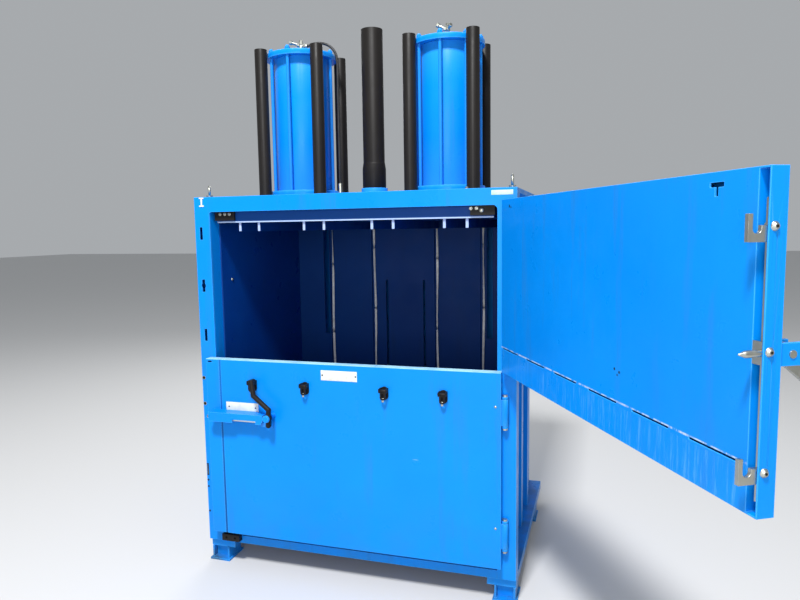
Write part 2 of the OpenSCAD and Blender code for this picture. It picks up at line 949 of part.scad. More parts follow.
// Hinge pins with a round head above and a nut below
module hinge_pins() {
    reach = lug_gap + lug_t;
    color(zinc)
        for (z = knuckle_zs)
            translate([hinge_x, axis_y, z]) {
                translate([0, 0, -reach])
                    cylinder(h = knuckle_h + 2 * reach, d = pin_d);
                translate([0, 0, knuckle_h + reach])
                    cylinder(h = pin_head_h, d = pin_head_d);
                translate([0, 0, -reach - pin_head_h])
                    hexagon(pin_head_d, pin_head_h);
            }
}

// Rest block for the bale door, bolted to the sill
module door_rest_pad() {
    pad_lo = [-half_w + 86, front_y - 26, sill_top - 22];
    pad_hi = [-half_w + 178, front_y, sill_top + 10];
    bolt_d = 12;
    bolt_sink = 6;
    color(black)
        difference() {
            block(pad_lo, pad_hi);
            for (share = [0.25, 0.75])
                translate([pad_lo[0] + share * (pad_hi[0] - pad_lo[0]), pad_lo[1] - eps,
                    (pad_lo[2] + pad_hi[2]) / 2])
                    rotate([-90, 0, 0])
                        cylinder(h = bolt_sink + eps, d = bolt_d);
        }
}

// Press plate: a thick sheet with a rim, stiffeners and a boss for each rod
module press_plate() {
    stiff_t = 15;
    cell_w = (plate_w - 2 * rim_t - 3 * stiff_t) / 4;
    color(dark_blue)
        difference() {
            block([-plate_w / 2, plate_y, plate_z], [plate_w / 2, plate_y + plate_d, plate_top]);
            difference() {
                for (i = [0 : 3])
                    translate([-plate_w / 2 + rim_t + i * (cell_w + stiff_t), 0, 0])
                        block([0, plate_y + rim_t, plate_z + skin_t],
                            [cell_w, plate_y + plate_d - rim_t, plate_top + eps]);
                plate_bosses();
            }
        }
}

// The bosses that the piston rods and the guide rods stand on
module plate_bosses() {
    boss_rim = 20;
    translate([0, 0, plate_z]) {
        for (side = cyl_signs)
            translate([side * cyl_x, axis_cy, 0])
                cylinder(h = plate_h + 2 * eps, d = rod_d + 2 * boss_rim);
        for (side = cyl_signs)
            at_guards(side)
                cylinder(h = plate_h + 2 * eps, d = guide_d + boss_rim);
        translate([0, axis_cy, 0])
            cylinder(h = plate_h + 2 * eps, d = centre_d + boss_rim);
    }
}

// Bars under the press plate, in pairs, running front to back
module plate_bars() {
    inset = 10;
    color(blue)
        for (x = bar_pairs, side = [-1, 1])
            translate([x + side * bar_gap / 2, 0, 0])
                block([-bar_t / 2, plate_y + inset, plate_z - bar_h],
                    [bar_t / 2, plate_y + plate_d - inset, plate_z]);
}

// Wear pads bolted to the front rim of the press plate
module plate_pads() {
    color(black)
        for (side = [-1, 1])
            translate([side * pad_x, 0, plate_top - pad_h])
                block([-pad_w / 2, plate_y - pad_t, 0], [pad_w / 2, plate_y, pad_h]);
}

// Piston rods with their pistons
module piston_rods() {
    color(steel)
        for (side = cyl_signs)
            translate([side * cyl_x, axis_cy, 0]) {
                translate([0, 0, plate_top])
                    cylinder(h = rod_top - plate_top, d = rod_d);
                translate([0, 0, rod_top - piston_h])
                    cylinder(h = piston_h, d = bore_d - 2 * run);
            }
}

// Guide rods in the guard tubes, and the thick one in the middle
module guide_rods() {
    top_gap = 30;
    centre_clear = 8;
    color(steel) {
        for (side = cyl_signs)
            at_guards(side)
                translate([0, 0, plate_top])
                    cylinder(h = guard_top - top_gap - plate_top, d = guide_d);
        translate([0, axis_cy, plate_top])
            cylinder(h = centre_top - top_gap - plate_top, d = centre_d - 2 * guard_t - centre_clear);
    }
}

// The same place for all pieces of the feed door: shut pose turned open
module feed_door_place() {
    translate([hinge_x, axis_y, 0])
        rotate([0, 0, upper_open])
            children();
}

// The place for all pieces of the bale door, which is shut
module bale_door_place() {
    translate([hinge_x, axis_y, 0])
        children();
}

// A box in door coordinates: u runs from the hinge axis to the free edge,
// v from the outside to the inside of the machine
module door_block(u0, u1, v0, v1, z0, z1) {
    translate([-u1, v0, z0])
        cube([u1 - u0, v1 - v0, z1 - z0]);
}

// Sheet tray of a door with a recess for the latch bar along its free edge
module door_tray(len, recess_u, z0, z1) {
    difference() {
        door_block(door_edge, len, outer_y, inner_y, z0, z1);
        door_block(door_edge + sheet_t, recess_u - sheet_t, outer_y + sheet_t, inner_y - sheet_t,
            z0 + sheet_t, z1 - sheet_t);
        door_block(recess_u, len - sheet_t, outer_y + sheet_t, inner_y + eps, z0 + sheet_t, z1 - sheet_t);
    }
}

// Feed door, with its row of bend slots and the cut-outs of its inner sheet
module upper_door() {
    bend_z = 97;
    bend_h = 5;
    bend_len = 158;
    bend_pitch = 236;
    bend_u = 26;
    tee_u = 1250;
    tee_z = 640;
    tee_w = 43;
    tee_h = 29;
    tee_arm = 10;
    drain_d = 12;
    color(blue)
        feed_door_place()
            difference() {
                door_tray(upper_len, upper_recess_u, upper_z, upper_top);
                for (i = [0 : 5])
                    inner_cut(bend_u + i * bend_pitch, upper_z + bend_z, bend_len, bend_h);
                inner_cut(tee_u, upper_z + tee_z + tee_h - tee_arm, tee_w, tee_arm);
                inner_cut(tee_u + (tee_w - tee_arm) / 2, upper_z + tee_z, tee_arm, tee_h);
                for (u = [0.2, 0.5, 0.8])
                    translate([-u * upper_len, 0, upper_z - eps])
                        cylinder(h = sheet_t + 2 * eps, d = drain_d);
                for (z = bolt_zs)
                    translate([-upper_len - eps, bolt_v, z])
                        rotate([0, 90, 0])
                            cylinder(h = sheet_t + 2 * eps, d = bolt_shank_d);
            }
}

// A cut through the inner sheet of a door
module inner_cut(u, z, w, h) {
    door_block(u, u + w, inner_y - sheet_t - eps, inner_y + eps, z, z + h);
}

// Bored knuckles of one door, each welded to the door by a short web
module knuckles(zs) {
    web = knuckle_d - 2;
    for (z = zs)
        translate([0, 0, z])
            difference() {
                union() {
                    cylinder(h = knuckle_h, d = knuckle_d);
                    translate([-door_edge, -web / 2, 0])
                        cube([door_edge, web, knuckle_h]);
                }
                translate([0, 0, -eps])
                    cylinder(h = knuckle_h + 2 * eps, d = pin_d + 2 * run);
            }
}

module upper_knuckles() {
    color(blue)
        feed_door_place()
            knuckles(upper_knuckle_z);
}

// Guide bolts through the end flange, and the bracket with the bullet stud
module upper_door_bolts() {
    head_d = 20;
    head_h = 6;
    washer_t = 3;
    washer_u = upper_bar_u - clear - washer_t;
    bracket_t = 3.5;
    bracket_h = 46;
    color(zinc)
        feed_door_place() {
            for (z = bolt_zs)
                translate([-upper_len, bolt_v, z])
                    rotate([0, 90, 0]) {
                        cylinder(h = upper_len - washer_u, d = bolt_shank_d);
                        translate([0, 0, upper_len - washer_u - washer_t])
                            cylinder(h = washer_t, d = head_d);
                        translate([0, 0, -head_h])
                            cylinder(h = head_h, d1 = head_d / 2, d2 = head_d);
                    }
            door_block(upper_recess_u, upper_len - sheet_t, inner_y - bracket_t, inner_y,
                stud_z - bracket_h / 2, stud_z + bracket_h / 2);
            translate([-upper_bar_u - hook_t / 2, inner_y, stud_z])
                rotate([-90, 0, 0]) {
                    cylinder(h = stud_reach - stud_d, d = stud_d);
                    translate([0, 0, stud_reach - stud_d])
                        cylinder(h = stud_d, d1 = stud_d, d2 = 3);
                }
        }
}

// A latch hook: a foot out of the door and an open mouth for the keeper pin
module hook(u, z) {
    mouth = hook_reach - hook_inner - hook_outer;
    difference() {
        door_block(u, u + hook_t, bar_v, inner_y + hook_reach, z, z + hook_h);
        door_block(u - eps, u + hook_t + eps, inner_y + hook_inner, inner_y + hook_inner + mouth,
            z + hook_foot + mouth / 2, z + hook_h + eps);
        door_block(u - eps, u + hook_t + eps, bar_v - eps, inner_y + hook_inner + eps,
            z + hook_neck_h, z + hook_h + eps);
        translate([-u - hook_t - eps, inner_y + hook_inner + mouth / 2, z + hook_foot + mouth / 2])
            rotate([0, 90, 0])
                cylinder(h = hook_t + 2 * eps, d = mouth);
    }
}

// The flat bar of a latch inside its door
module latch_bar(u, ends) {
    bar_clear = 3;
    door_block(u, u + hook_t, outer_y + sheet_t + bar_clear, bar_v, ends[0], ends[1]);
}

// Latch bar of the feed door with its two hooks and the slots for its guide bolts
module upper_latch() {
    guide_w = bolt_shank_d + 1.5;
    color(zinc)
        feed_door_place()
            difference() {
                union() {
                    latch_bar(upper_bar_u, upper_bar_z);
                    for (z = upper_hook_z)
                        hook(upper_bar_u, z);
                }
                for (z = bolt_zs)
                    door_block(upper_bar_u - eps, upper_bar_u + hook_t + eps, bolt_v - guide_w / 2,
                        bolt_v + guide_w / 2, z - latch_travel - guide_w / 2, z + guide_w / 2);
            }
}

// Two cheeks on the outside of the feed door that carry its handle
module upper_handle_bracket() {
    cheek_t = 8;
    cheek_h = 46;
    color(blue)
        feed_door_place()
            for (side = [-1, 1])
                difference() {
                    translate([-handle_u + side * cheek_off - cheek_t / 2, outer_y - handle_out - cheek_h / 2,
                        handle_z - cheek_h / 2])
                        cube([cheek_t, handle_out + cheek_h / 2, cheek_h]);
                    translate([-handle_u + side * cheek_off - cheek_t / 2 - eps,
                        outer_y - handle_out, handle_z])
                        rotate([0, 90, 0])
                            cylinder(h = cheek_t + 2 * eps, d = handle_pin_d + 2 * run);
                }
}

// The feed door handle: pin, boss and flat lever, pointing out and down
module upper_lever() {
    boss_d = 40;
    lever_t = 12;
    lever_h = 42;
    boss_w = 2 * cheek_off - 8 - 2 * clear;
    pin_len = 2 * cheek_off + 8 + 4;
    color([0.55, 0.54, 0.4])
        upper_handle_place() {
            rotate([0, 90, 0]) {
                translate([0, 0, -pin_len / 2])
                    cylinder(h = pin_len, d = handle_pin_d);
                translate([0, 0, -boss_w / 2])
                    cylinder(h = boss_w, d = boss_d);
            }
            translate([-lever_t / 2, -lever_len, -lever_h / 2])
                cube([lever_t, lever_len, lever_h]);
        }
}

// The round grip on the end of the feed door handle
module upper_grip() {
    grip_d = 38;
    grip_len = 118;
    color(white)
        upper_handle_place()
            translate([0, -lever_len, 0])
                rotate([90, 0, 0]) {
                    cylinder(h = grip_len, d = grip_d);
                    translate([0, 0, grip_len])
                        sphere(d = grip_d);
                }
}

// Frame of the feed door handle, turned down from level
module upper_handle_place() {
    feed_door_place()
        translate([-handle_u, outer_y - handle_out, handle_z])
            rotate([handle_drop, 0, 0])
                children();
}

// Bale door with its front groove and the slot in its top corner
module lower_door() {
    groove_u = 1313;
    groove = [12, 2.5];
    corner_slot = [25, 8];
    corner_u = lower_len - 8;
    drain_d = 12;
    color(blue)
        bale_door_place()
            difference() {
                door_tray(lower_len, lower_recess_u, lower_z, lower_top);
                door_block(groove_u, groove_u + groove[0], outer_y - eps, outer_y + groove[1],
                    lower_z - eps, lower_top + eps);
                door_block(corner_u - corner_slot[0], corner_u, outer_y - eps, outer_y + sheet_t + eps,
                    lower_top - 9 - corner_slot[1], lower_top - 9);
                for (u = [0.2, 0.5, 0.8])
                    translate([-u * lower_len, 0, lower_z - eps])
                        cylinder(h = sheet_t + 2 * eps, d = drain_d);
            }
}

module lower_knuckles() {
    color(blue)
        bale_door_place()
            knuckles(lower_knuckle_z);
}

// The outer face of the bale door, with Y at zero on it
module bale_face_place() {
    translate([0, axis_y + outer_y, 0])
        children();
}

// A straight round bar standing out from the door face between two distances
module face_pin(x, z, d, from, to) {
    translate([x, -from, z])
        rotate([90, 0, 0])
            cylinder(h = to - from, d = d);
}

// Bent cover on the bale door with a bored guide for the pull rod, and the
// post with the pivot of the lever
module latch_cover() {
    guide_ends = [60, 90];
    corner_w = 12;
    corner_h = 20;
    cover_end = cover_x + cover_len;
    guide_in = 12;
    post_end_d = 22;
    cap_h = 7;
    hub_gap = 0.5;
    color(blue)
        bale_face_place() {
            difference() {
                block([cover_x, -cover_out, cover_z], [cover_x + cover_len, 0, cover_z + cover_h]);
                difference() {
                    block([cover_x + cover_wall, -cover_out + cover_wall, cover_z - eps],
                        [cover_x + cover_len + eps, eps, cover_z + cover_h - cover_wall]);
                    block([cover_x + guide_ends[0], -cover_out, cover_z],
                        [cover_x + guide_ends[1], -pull_out + guide_in, cover_z + cover_h]);
                }
                block([cover_x + notch_ends[0], -cover_out - eps, cover_z - eps],
                    [cover_x + notch_ends[1], -cover_out + cover_wall + eps, cover_z + notch_h]);
                translate([0, -cover_out + cover_wall + eps, 0])
                    rotate([90, 0, 0])
                        linear_extrude(cover_wall + 2 * eps)
                            polygon([[cover_end - corner_w, cover_z], [cover_end - corner_w, cover_z - eps],
                                [cover_end + eps, cover_z - eps], [cover_end + eps, cover_z + corner_h],
                                [cover_end, cover_z + corner_h]]);
                translate([cover_x + cover_wall + eps, -pull_out, pull_z])
                    rotate([0, 90, 0])
                        cylinder(h = cover_len, d = pull_d + 2 * run);
            }
            face_pin(pivot_x, pivot_z, post_end_d, 0, hub_out - hub_gap);
            face_pin(pivot_x, pivot_z, pivot_d, 0, hub_out + hub_w + hub_gap + cap_h);
            translate([pivot_x, -hub_out - hub_w - hub_gap, pivot_z])
                rotate([90, 0, 0])
                    cylinder(h = cap_h, d1 = hub_d, d2 = hub_d - cap_h);
        }
}

// Pull rod under the cover, with a slotted end that the lever's crank pin works
module lower_pull_rod() {
    end_reach = 14;
    rod_stop = 28;
    slot_side = 1;
    slot_end = 1.5;
    plate_lo = pivot_z - crank - 13;
    plate_hi = pivot_z - 14;
    crank_rise = crank * (1 - cos(40));
    color(zinc)
        bale_face_place() {
            translate([pull_start, -pull_out, pull_z])
                rotate([0, 90, 0])
                    cylinder(h = pivot_x - rod_stop - pull_start, d = pull_d);
            difference() {
                block([pivot_x - rod_stop - end_reach, -crank_back, plate_lo],
                    [pivot_x + end_reach, -crank_back + crank_t, plate_hi]);
                block([pivot_x - crank_pin_d / 2 - slot_side, -crank_back - eps,
                    pivot_z - crank - crank_pin_d / 2 - slot_end],
                    [pivot_x + crank_pin_d / 2 + slot_side, -crank_back + crank_t + eps,
                    pivot_z - crank + crank_pin_d / 2 + crank_rise + slot_end]);
            }
        }
}

// Latch bar of the bale door with its two hooks
module lower_latch() {
    color(zinc)
        bale_door_place() {
            latch_bar(lower_bar_u, lower_bar_z);
            for (z = lower_hook_z)
                hook(lower_bar_u, z);
        }
}

// A round bar between two points of an upright plane, with a weld at the first
module round_bar(a, b, d) {
    run_x = b[0] - a[0];
    run_z = b[1] - a[1];
    weld = 1;
    translate([a[0], 0, a[1]]) {
        sphere(d = d + weld);
        rotate([0, atan2(run_x, run_z), 0])
            cylinder(h = norm([run_x, run_z]), d = d);
    }
}

// The bale door handle: a hub on the pivot, an S-shaped lever and a crank pin
module lower_lever() {
    arm = [[4, -crank], [7, 39], [-66, 100], [-76, 172]];
    arm_out = hub_out + hub_w / 2;
    color(black)
        bale_face_place() {
            difference() {
                union() {
                    face_pin(pivot_x, pivot_z, hub_d, hub_out, hub_out + hub_w);
                    for (i = [0 : len(arm) - 2])
                        translate([pivot_x, -arm_out, pivot_z])
                            round_bar(arm[i], arm[i + 1], arm_d);
                }
                face_pin(pivot_x, pivot_z, pivot_d + 2 * run, hub_out - eps, hub_out + hub_w + eps);
            }
            face_pin(pivot_x, pivot_z - crank, crank_pin_d, crank_back - crank_t - eps, arm_out);
        }
}

// An upright oval plate lying on the door face, between two distances from it
module oval_plate(w, z0, z1, from, to) {
    translate([0, -from, 0])
        rotate([90, 0, 0])
            linear_extrude(to - from)
                union() {
                    translate([-w / 2, z0 + w / 2])
                        square([w, z1 - z0 - w]);
                    translate([0, z0 + w / 2])
                        circle(d = w);
                    translate([0, z1 - w / 2])
                        circle(d = w);
                }
}

// Oval strap clamp brackets on the bale door, each with two bored ears
module clamp_bodies() {
    ear_half_h = 9;
    ear_over = 7;
    color(black)
        bale_face_place()
            for (x = strap_xs)
                translate([x, 0, 0])
                    difference() {
                        union() {
                            oval_plate(clamp_w, clamp_z, clamp_z + clamp_h, 0, clamp_base);
                            for (side = [-1, 1])
                                translate([side * (clamp_w - clamp_ear_t) / 2, 0, 0])
                                    block([-clamp_ear_t / 2, -clamp_out - ear_over, clamp_pin_z - ear_half_h],
                                        [clamp_ear_t / 2, 0, clamp_pin_z + ear_half_h]);
                        }
                        translate([-clamp_w / 2 - eps, -clamp_out, clamp_pin_z])
                            rotate([0, 90, 0])
                                cylinder(h = clamp_w + 2 * eps, d = clamp_pin_d + 2 * run);
                    }
}

// One clamp lever: an oval loop on its pin, hanging shut over its bracket
module clamp_lever(x) {
    loop_w = clamp_w - 2 * clamp_ear_t - 1;
    loop_t = 8;
    eye_w = loop_w - 14;
    boss_d = 14;
    pin_over = 2;
    color(black)
        bale_face_place()
            translate([x, 0, 0]) {
                translate([-clamp_w / 2 - pin_over, -clamp_out, clamp_pin_z])
                    rotate([0, 90, 0]) {
                        cylinder(h = clamp_w + 2 * pin_over, d = clamp_pin_d);
                        translate([0, 0, (clamp_w - loop_w) / 2 + pin_over])
                            cylinder(h = loop_w, d = boss_d);
                    }
                difference() {
                    oval_plate(loop_w, clamp_z + 3, clamp_pin_z + boss_d / 2,
                        clamp_out - loop_t / 2, clamp_out + loop_t / 2);
                    oval_plate(eye_w, clamp_z + 10, clamp_pin_z - boss_d / 2 - 3,
                        clamp_out - loop_t / 2 - eps, clamp_out + loop_t / 2 + eps);
                }
            }
}

module clamp_lever_1() {
    clamp_lever(strap_xs[0]);
}

module clamp_lever_2() {
    clamp_lever(strap_xs[1]);
}

module clamp_lever_3() {
    clamp_lever(strap_xs[2]);
}

module clamp_lever_4() {
    clamp_lever(strap_xs[3]);
}

base_frame();
foot_plates();
chamber_floor();
sill_beam();
front_frame();
left_post();
right_post();
header_beam();
left_wall();
right_wall();
side_ribs();
rear_wall();
rear_posts();
rear_cover();
roof_plate();
cylinder_heads();
left_barrel();
right_barrel();
cylinder_caps();
tie_rods();
left_guard_tubes();
right_guard_tubes();
centre_guard_tube();
guide_collar();
lifting_eyes();
hose_fittings();
left_hose();
right_hose();
keeper_pins();
hinge_lugs();
hinge_pins();
door_rest_pad();
strap_guides();
strap_1();
strap_2();
strap_3();
strap_4();
press_plate();
plate_bars();
plate_pads();
piston_rods();
guide_rods();
upper_door();
upper_knuckles();
upper_door_bolts();
upper_handle_bracket();
upper_latch();
upper_lever();
upper_grip();
lower_door();
lower_knuckles();
latch_cover();
lower_latch();
lower_pull_rod();
lower_lever();
clamp_bodies();
clamp_lever_1();
clamp_lever_2();
clamp_lever_3();
clamp_lever_4();
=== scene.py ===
"""The recycling baler's looks: paint, bare metal, cords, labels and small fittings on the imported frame."""

import json
import math

import bmesh
import bpy
from mathutils import Matrix, Vector


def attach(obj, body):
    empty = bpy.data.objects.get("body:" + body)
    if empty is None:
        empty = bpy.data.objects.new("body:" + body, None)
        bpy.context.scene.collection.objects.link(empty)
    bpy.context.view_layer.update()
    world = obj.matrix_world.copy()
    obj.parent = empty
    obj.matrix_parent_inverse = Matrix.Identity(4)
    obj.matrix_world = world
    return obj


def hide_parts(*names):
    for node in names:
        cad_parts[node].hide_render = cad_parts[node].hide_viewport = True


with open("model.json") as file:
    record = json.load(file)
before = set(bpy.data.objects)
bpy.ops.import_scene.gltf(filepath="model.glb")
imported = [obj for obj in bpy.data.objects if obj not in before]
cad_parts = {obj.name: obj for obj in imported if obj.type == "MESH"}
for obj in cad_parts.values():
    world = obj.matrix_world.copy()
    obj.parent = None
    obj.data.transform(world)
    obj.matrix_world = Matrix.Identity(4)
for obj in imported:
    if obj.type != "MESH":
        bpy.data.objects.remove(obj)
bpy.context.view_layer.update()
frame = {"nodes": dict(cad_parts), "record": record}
NODES = frame["nodes"]
SLOT_OF = {s["node"]: s["material_slot"] for s in frame["record"]["subparts"]}

# The camera, as fitted to the photo: focal length in pixels of an 800 pixel wide picture
PICTURE_W = 800
FOCAL_PX = 659.11
SENSOR_MM = 36.0
CAMERA_AT = Vector((1.0734, -3.1575, 1.60))
CAMERA_YAW = 0.2992
CAMERA_PITCH = 0.1072
CAMERA_ROLL = -0.0154
CLIP_NEAR = 0.05
CLIP_FAR = 60


def camera():
    """The photo's camera."""
    data = bpy.data.cameras.new("camera")
    data.sensor_width = SENSOR_MM
    data.lens = SENSOR_MM * FOCAL_PX / PICTURE_W
    data.clip_start = CLIP_NEAR
    data.clip_end = CLIP_FAR
    o = bpy.data.objects.new("camera", data)
    bpy.context.scene.collection.objects.link(o)
    yaw, pitch = CAMERA_YAW, CAMERA_PITCH
    ahead = Vector((-math.sin(yaw) * math.cos(pitch), math.cos(yaw) * math.cos(pitch), -math.sin(pitch)))
    right = Vector((math.cos(yaw), math.sin(yaw), 0))
    up = right.cross(ahead)
    c, s = math.cos(CAMERA_ROLL), math.sin(CAMERA_ROLL)
    rolled_right = c * right + s * up
    rolled_up = -s * right + c * up
    turn = Matrix((rolled_right, rolled_up, -ahead)).transposed()
    o.matrix_world = Matrix.Translation(CAMERA_AT) @ turn.to_4x4()
    bpy.context.scene.camera = o


camera()

# The axis of the right cylinder; the left one mirrors it
CYLINDER_X = 0.371
CYLINDER_Y = -0.070

# Straps: their places across, their size, the height where they start, and their way round to the front
STRAP_XS = (-0.446, -0.186, 0.186, 0.446)
STRAP_W = 0.012
STRAP_T = 0.0011
STRAP_Y = 0.4375
STRAP_TOP = 1.600
STRAP_FLOOR = 0.1335
STRAP_BEND = 0.030
STRAP_FRONT = -0.393
WALL_STEPS = 90
BEND_STEPS = 12
FLOOR_STEPS = 50
# Slack of the straps: sideways waves over a share of the drop, and turns over a share of the strap
SWAY = 0.0035
SWAY_WAVES = 9.0
SWAY_SHIFT = 40
SWAY_SHARE = 0.8
TWIST = 1.1
TWIST_WAVES = 13.0
TWIST_SHIFT = 1.7
TWIST_SHARE = 0.60

# A hose over the cap and down to the roof: distances from the cylinder's axis, and heights
HOSE_D = 0.013
HOSE_ROUTE = (
    (0.034, 2.504),
    (0.044, 2.504),
    (0.080, 2.512),
    (0.131, 2.504),
    (0.173, 2.472),
    (0.190, 2.414),
    (0.190, 2.250),
    (0.190, 2.000),
    (0.190, 1.830),
)


def smooth_route(points, steps=12):
    """Points along a Catmull-Rom line through the given points, the ends reflected."""
    pts = [Vector(p) for p in points]
    pts = [2 * pts[0] - pts[1], *pts, 2 * pts[-1] - pts[-2]]
    route = []
    for a, b, c, d in zip(pts, pts[1:], pts[2:], pts[3:]):
        for i in range(steps):
            t = i / steps
            linear = (c - a) * t
            square = (2 * a - 5 * b + 4 * c - d) * t**2
            cubic = (3 * b - a - 3 * c + d) * t**3
            route.append(0.5 * (2 * b + linear + square + cubic))
    route.append(pts[-2])
    return route


def line(name, route, width, thick=None, twist=None):
    """A round or flat curve along a route; a flat one may twist by twist(share of the way)."""
    data = bpy.data.curves.new(name, "CURVE")
    data.dimensions = "3D"
    if thick is None:
        data.bevel_depth = width / 2
        data.bevel_resolution = 6
    else:
        data.bevel_depth = thick / 2
        data.extrude = (width - thick) / 2
        data.bevel_resolution = 2
        data.twist_mode = "Z_UP"
    data.use_fill_caps = True
    spline = data.splines.new("POLY")
    spline.points.add(len(route) - 1)
    for i, p in enumerate(route):
        spline.points[i].co = (*p, 1)
        if twist:
            spline.points[i].tilt = twist(i / (len(route) - 1))
    o = bpy.data.objects.new(name, data)
    bpy.context.scene.collection.objects.link(o)
    return o


def strap_route(x):
    """Down the channel of the rear wall, round a quarter bend and along the groove of the floor."""
    middle = Vector((x, STRAP_Y - STRAP_BEND, STRAP_FLOOR + STRAP_BEND))
    route = []
    for i in range(WALL_STEPS):
        share = i / WALL_STEPS
        sway = 0
        if share < SWAY_SHARE:
            swell = math.sin(math.pi * (share / SWAY_SHARE))
            sway = SWAY * math.sin(SWAY_WAVES * share + SWAY_SHIFT * x) * swell
        route.append(Vector((x + sway, STRAP_Y, STRAP_TOP + (middle.z - STRAP_TOP) * share)))
    for i in range(BEND_STEPS):
        a = i * math.pi / (2 * BEND_STEPS)
        route.append(middle + STRAP_BEND * Vector((0, math.cos(a), -math.sin(a))))
    for i in range(FLOOR_STEPS + 1):
        route.append(Vector((x, middle.y + (STRAP_FRONT - middle.y) * i / FLOOR_STEPS, STRAP_FLOOR)))
    return route


def cords():
    """The four straps in their channels and the pressure hose of each cylinder."""
    for i, x in enumerate(STRAP_XS, 1):
        route = strap_route(x)

        def twist(share, turn=i):
            """Slow turns of the webbing in its channel, and none at the bend and on the floor."""
            calm = max(0.0, 1.0 - share / TWIST_SHARE)
            return TWIST * calm * math.sin(TWIST_WAVES * share + TWIST_SHIFT * turn)

        strap = line(f"strap_line_{i}", route, STRAP_W, STRAP_T, twist)
        strap.data.materials.append(MATERIALS["strap_fabric"])
        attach(strap, "frame")
        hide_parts(f"strap_{i}")
    hoses = {
        "left_hose": [(-CYLINDER_X + out, CYLINDER_Y, z) for out, z in HOSE_ROUTE],
        "right_hose": [(CYLINDER_X, CYLINDER_Y + out, z) for out, z in HOSE_ROUTE],
    }
    for name, points in hoses.items():
        route = smooth_route(points)
        hose = line(f"{name}_line", route, HOSE_D)
        hose.data.materials.append(MATERIALS["black_rubber"])
        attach(hose, "frame")
        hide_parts(name)


# Materials


class Shader:
    """A small helper that adds and links shader nodes of one material."""

    def __init__(self, name):
        self.material = bpy.data.materials.new(name)
        self.material.use_nodes = True
        self.tree = self.material.node_tree
        self.bsdf = self.tree.nodes["Principled BSDF"]
        self.where = self.add("ShaderNodeTexCoord").outputs["Object"]

    def add(self, kind, **values):
        node = self.tree.nodes.new(kind)
        for key, value in values.items():
            setattr(node, key, value)
        return node

    def link(self, source, target):
        self.tree.links.new(source, target)

    def noise(self, scale, detail=4.0, rough=0.6, stretch=None):
        """A noise value, on coordinates stretched along one or more axes."""
        node = self.add("ShaderNodeTexNoise")
        node.inputs["Scale"].default_value = scale
        node.inputs["Detail"].default_value = detail
        node.inputs["Roughness"].default_value = rough
        place = self.where
        if stretch:
            mapping = self.add("ShaderNodeMapping")
            mapping.inputs["Scale"].default_value = stretch
            self.link(place, mapping.inputs["Vector"])
            place = mapping.outputs["Vector"]
        self.link(place, node.inputs["Vector"])
        return node.outputs["Fac"]

    def ramp(self, source, low, high, from_value=0.0, to_value=1.0):
        """source mapped from low..high to the two values, clamped."""
        node = self.add("ShaderNodeMapRange")
        node.inputs["From Min"].default_value = low
        node.inputs["From Max"].default_value = high
        node.inputs["To Min"].default_value = from_value
        node.inputs["To Max"].default_value = to_value
        self.link(source, node.inputs["Value"])
        return node.outputs["Result"]

    def times(self, a, b):
        node = self.add("ShaderNodeMath", operation="MULTIPLY")
        for value, socket in ((a, node.inputs[0]), (b, node.inputs[1])):
            if isinstance(value, (int, float)):
                socket.default_value = value
            else:
                self.link(value, socket)
        return node.outputs[0]

    def most(self, a, b):
        node = self.add("ShaderNodeMath", operation="MAXIMUM")
        self.link(a, node.inputs[0])
        self.link(b, node.inputs[1])
        return node.outputs[0]

    def blend(self, share, a, b):
        """Colour a where share is 0 and b where it is 1."""
        node = self.add("ShaderNodeMix", data_type="RGBA")
        self.link(share, node.inputs["Factor"])
        for value, socket in ((a, node.inputs["A"]), (b, node.inputs["B"])):
            if isinstance(value, tuple):
                socket.default_value = (*value, 1.0)
            else:
                self.link(value, socket)
        return node.outputs["Result"]

    def along(self, axis):
        """The place along X, Y or Z, in metres."""
        node = self.add("ShaderNodeSeparateXYZ")
        self.link(self.where, node.inputs[0])
        return node.outputs[axis]

    def facing(self, axis, sign):
        """How much the surface looks along an axis, from 0 to 1."""
        node = self.add("ShaderNodeSeparateXYZ")
        self.link(self.add("ShaderNodeTexCoord").outputs["Normal"], node.inputs[0])
        return self.ramp(node.outputs[axis], 0.6 * sign, 0.9 * sign)

    def band(self, axis, low, high, soft=0.0008):
        """1 between two places along an axis, and 0 outside."""
        place = self.along(axis)
        rise = self.ramp(place, low - soft, low + soft)
        return self.times(rise, self.ramp(place, high + soft, high - soft))

    def corners(self):
        """1 near a sharp corner: the rounded normal differs there from the flat one."""
        rounded = self.add("ShaderNodeBevel", samples=4)
        rounded.inputs["Radius"].default_value = EDGE_HIGHLIGHT_WIDTH
        dot = self.add("ShaderNodeVectorMath", operation="DOT_PRODUCT")
        self.link(rounded.outputs["Normal"], dot.inputs[0])
        self.link(self.add("ShaderNodeNewGeometry").outputs["True Normal"], dot.inputs[1])
        return self.ramp(dot.outputs["Value"], 0.995, 0.90)

    def bump(self, source, distance, strength=1.0, under=None):
        node = self.add("ShaderNodeBump")
        node.inputs["Distance"].default_value = distance
        node.inputs["Strength"].default_value = strength
        self.link(source, node.inputs["Height"])
        if under is not None:
            self.link(under, node.inputs["Normal"])
        return node.outputs["Normal"]

    def set(self, **values):
        """Values, colours or links for the sockets of the surface, and its material."""
        for key, value in values.items():
            socket = self.bsdf.inputs[key.replace("_", " ")]
            if isinstance(value, (int, float)):
                socket.default_value = value
            elif isinstance(value, tuple):
                socket.default_value = (*value, 1.0)
            else:
                self.link(value, socket)
        return self.material


# Paint: width and share of the painted highlight along its sharp corners, heights where dust starts and is
# full, and its small shapes
EDGE_HIGHLIGHT_WIDTH = 0.0028
EDGE_HIGHLIGHT_SHARE = 0.75
DUST_TOP = 0.5
DUST_FULL = 0.02
PAINT_SHINE = 0.16
PEEL_DEPTH = 0.00012
DENT_DEPTH = 0.006
DENT_SHARE = 0.35


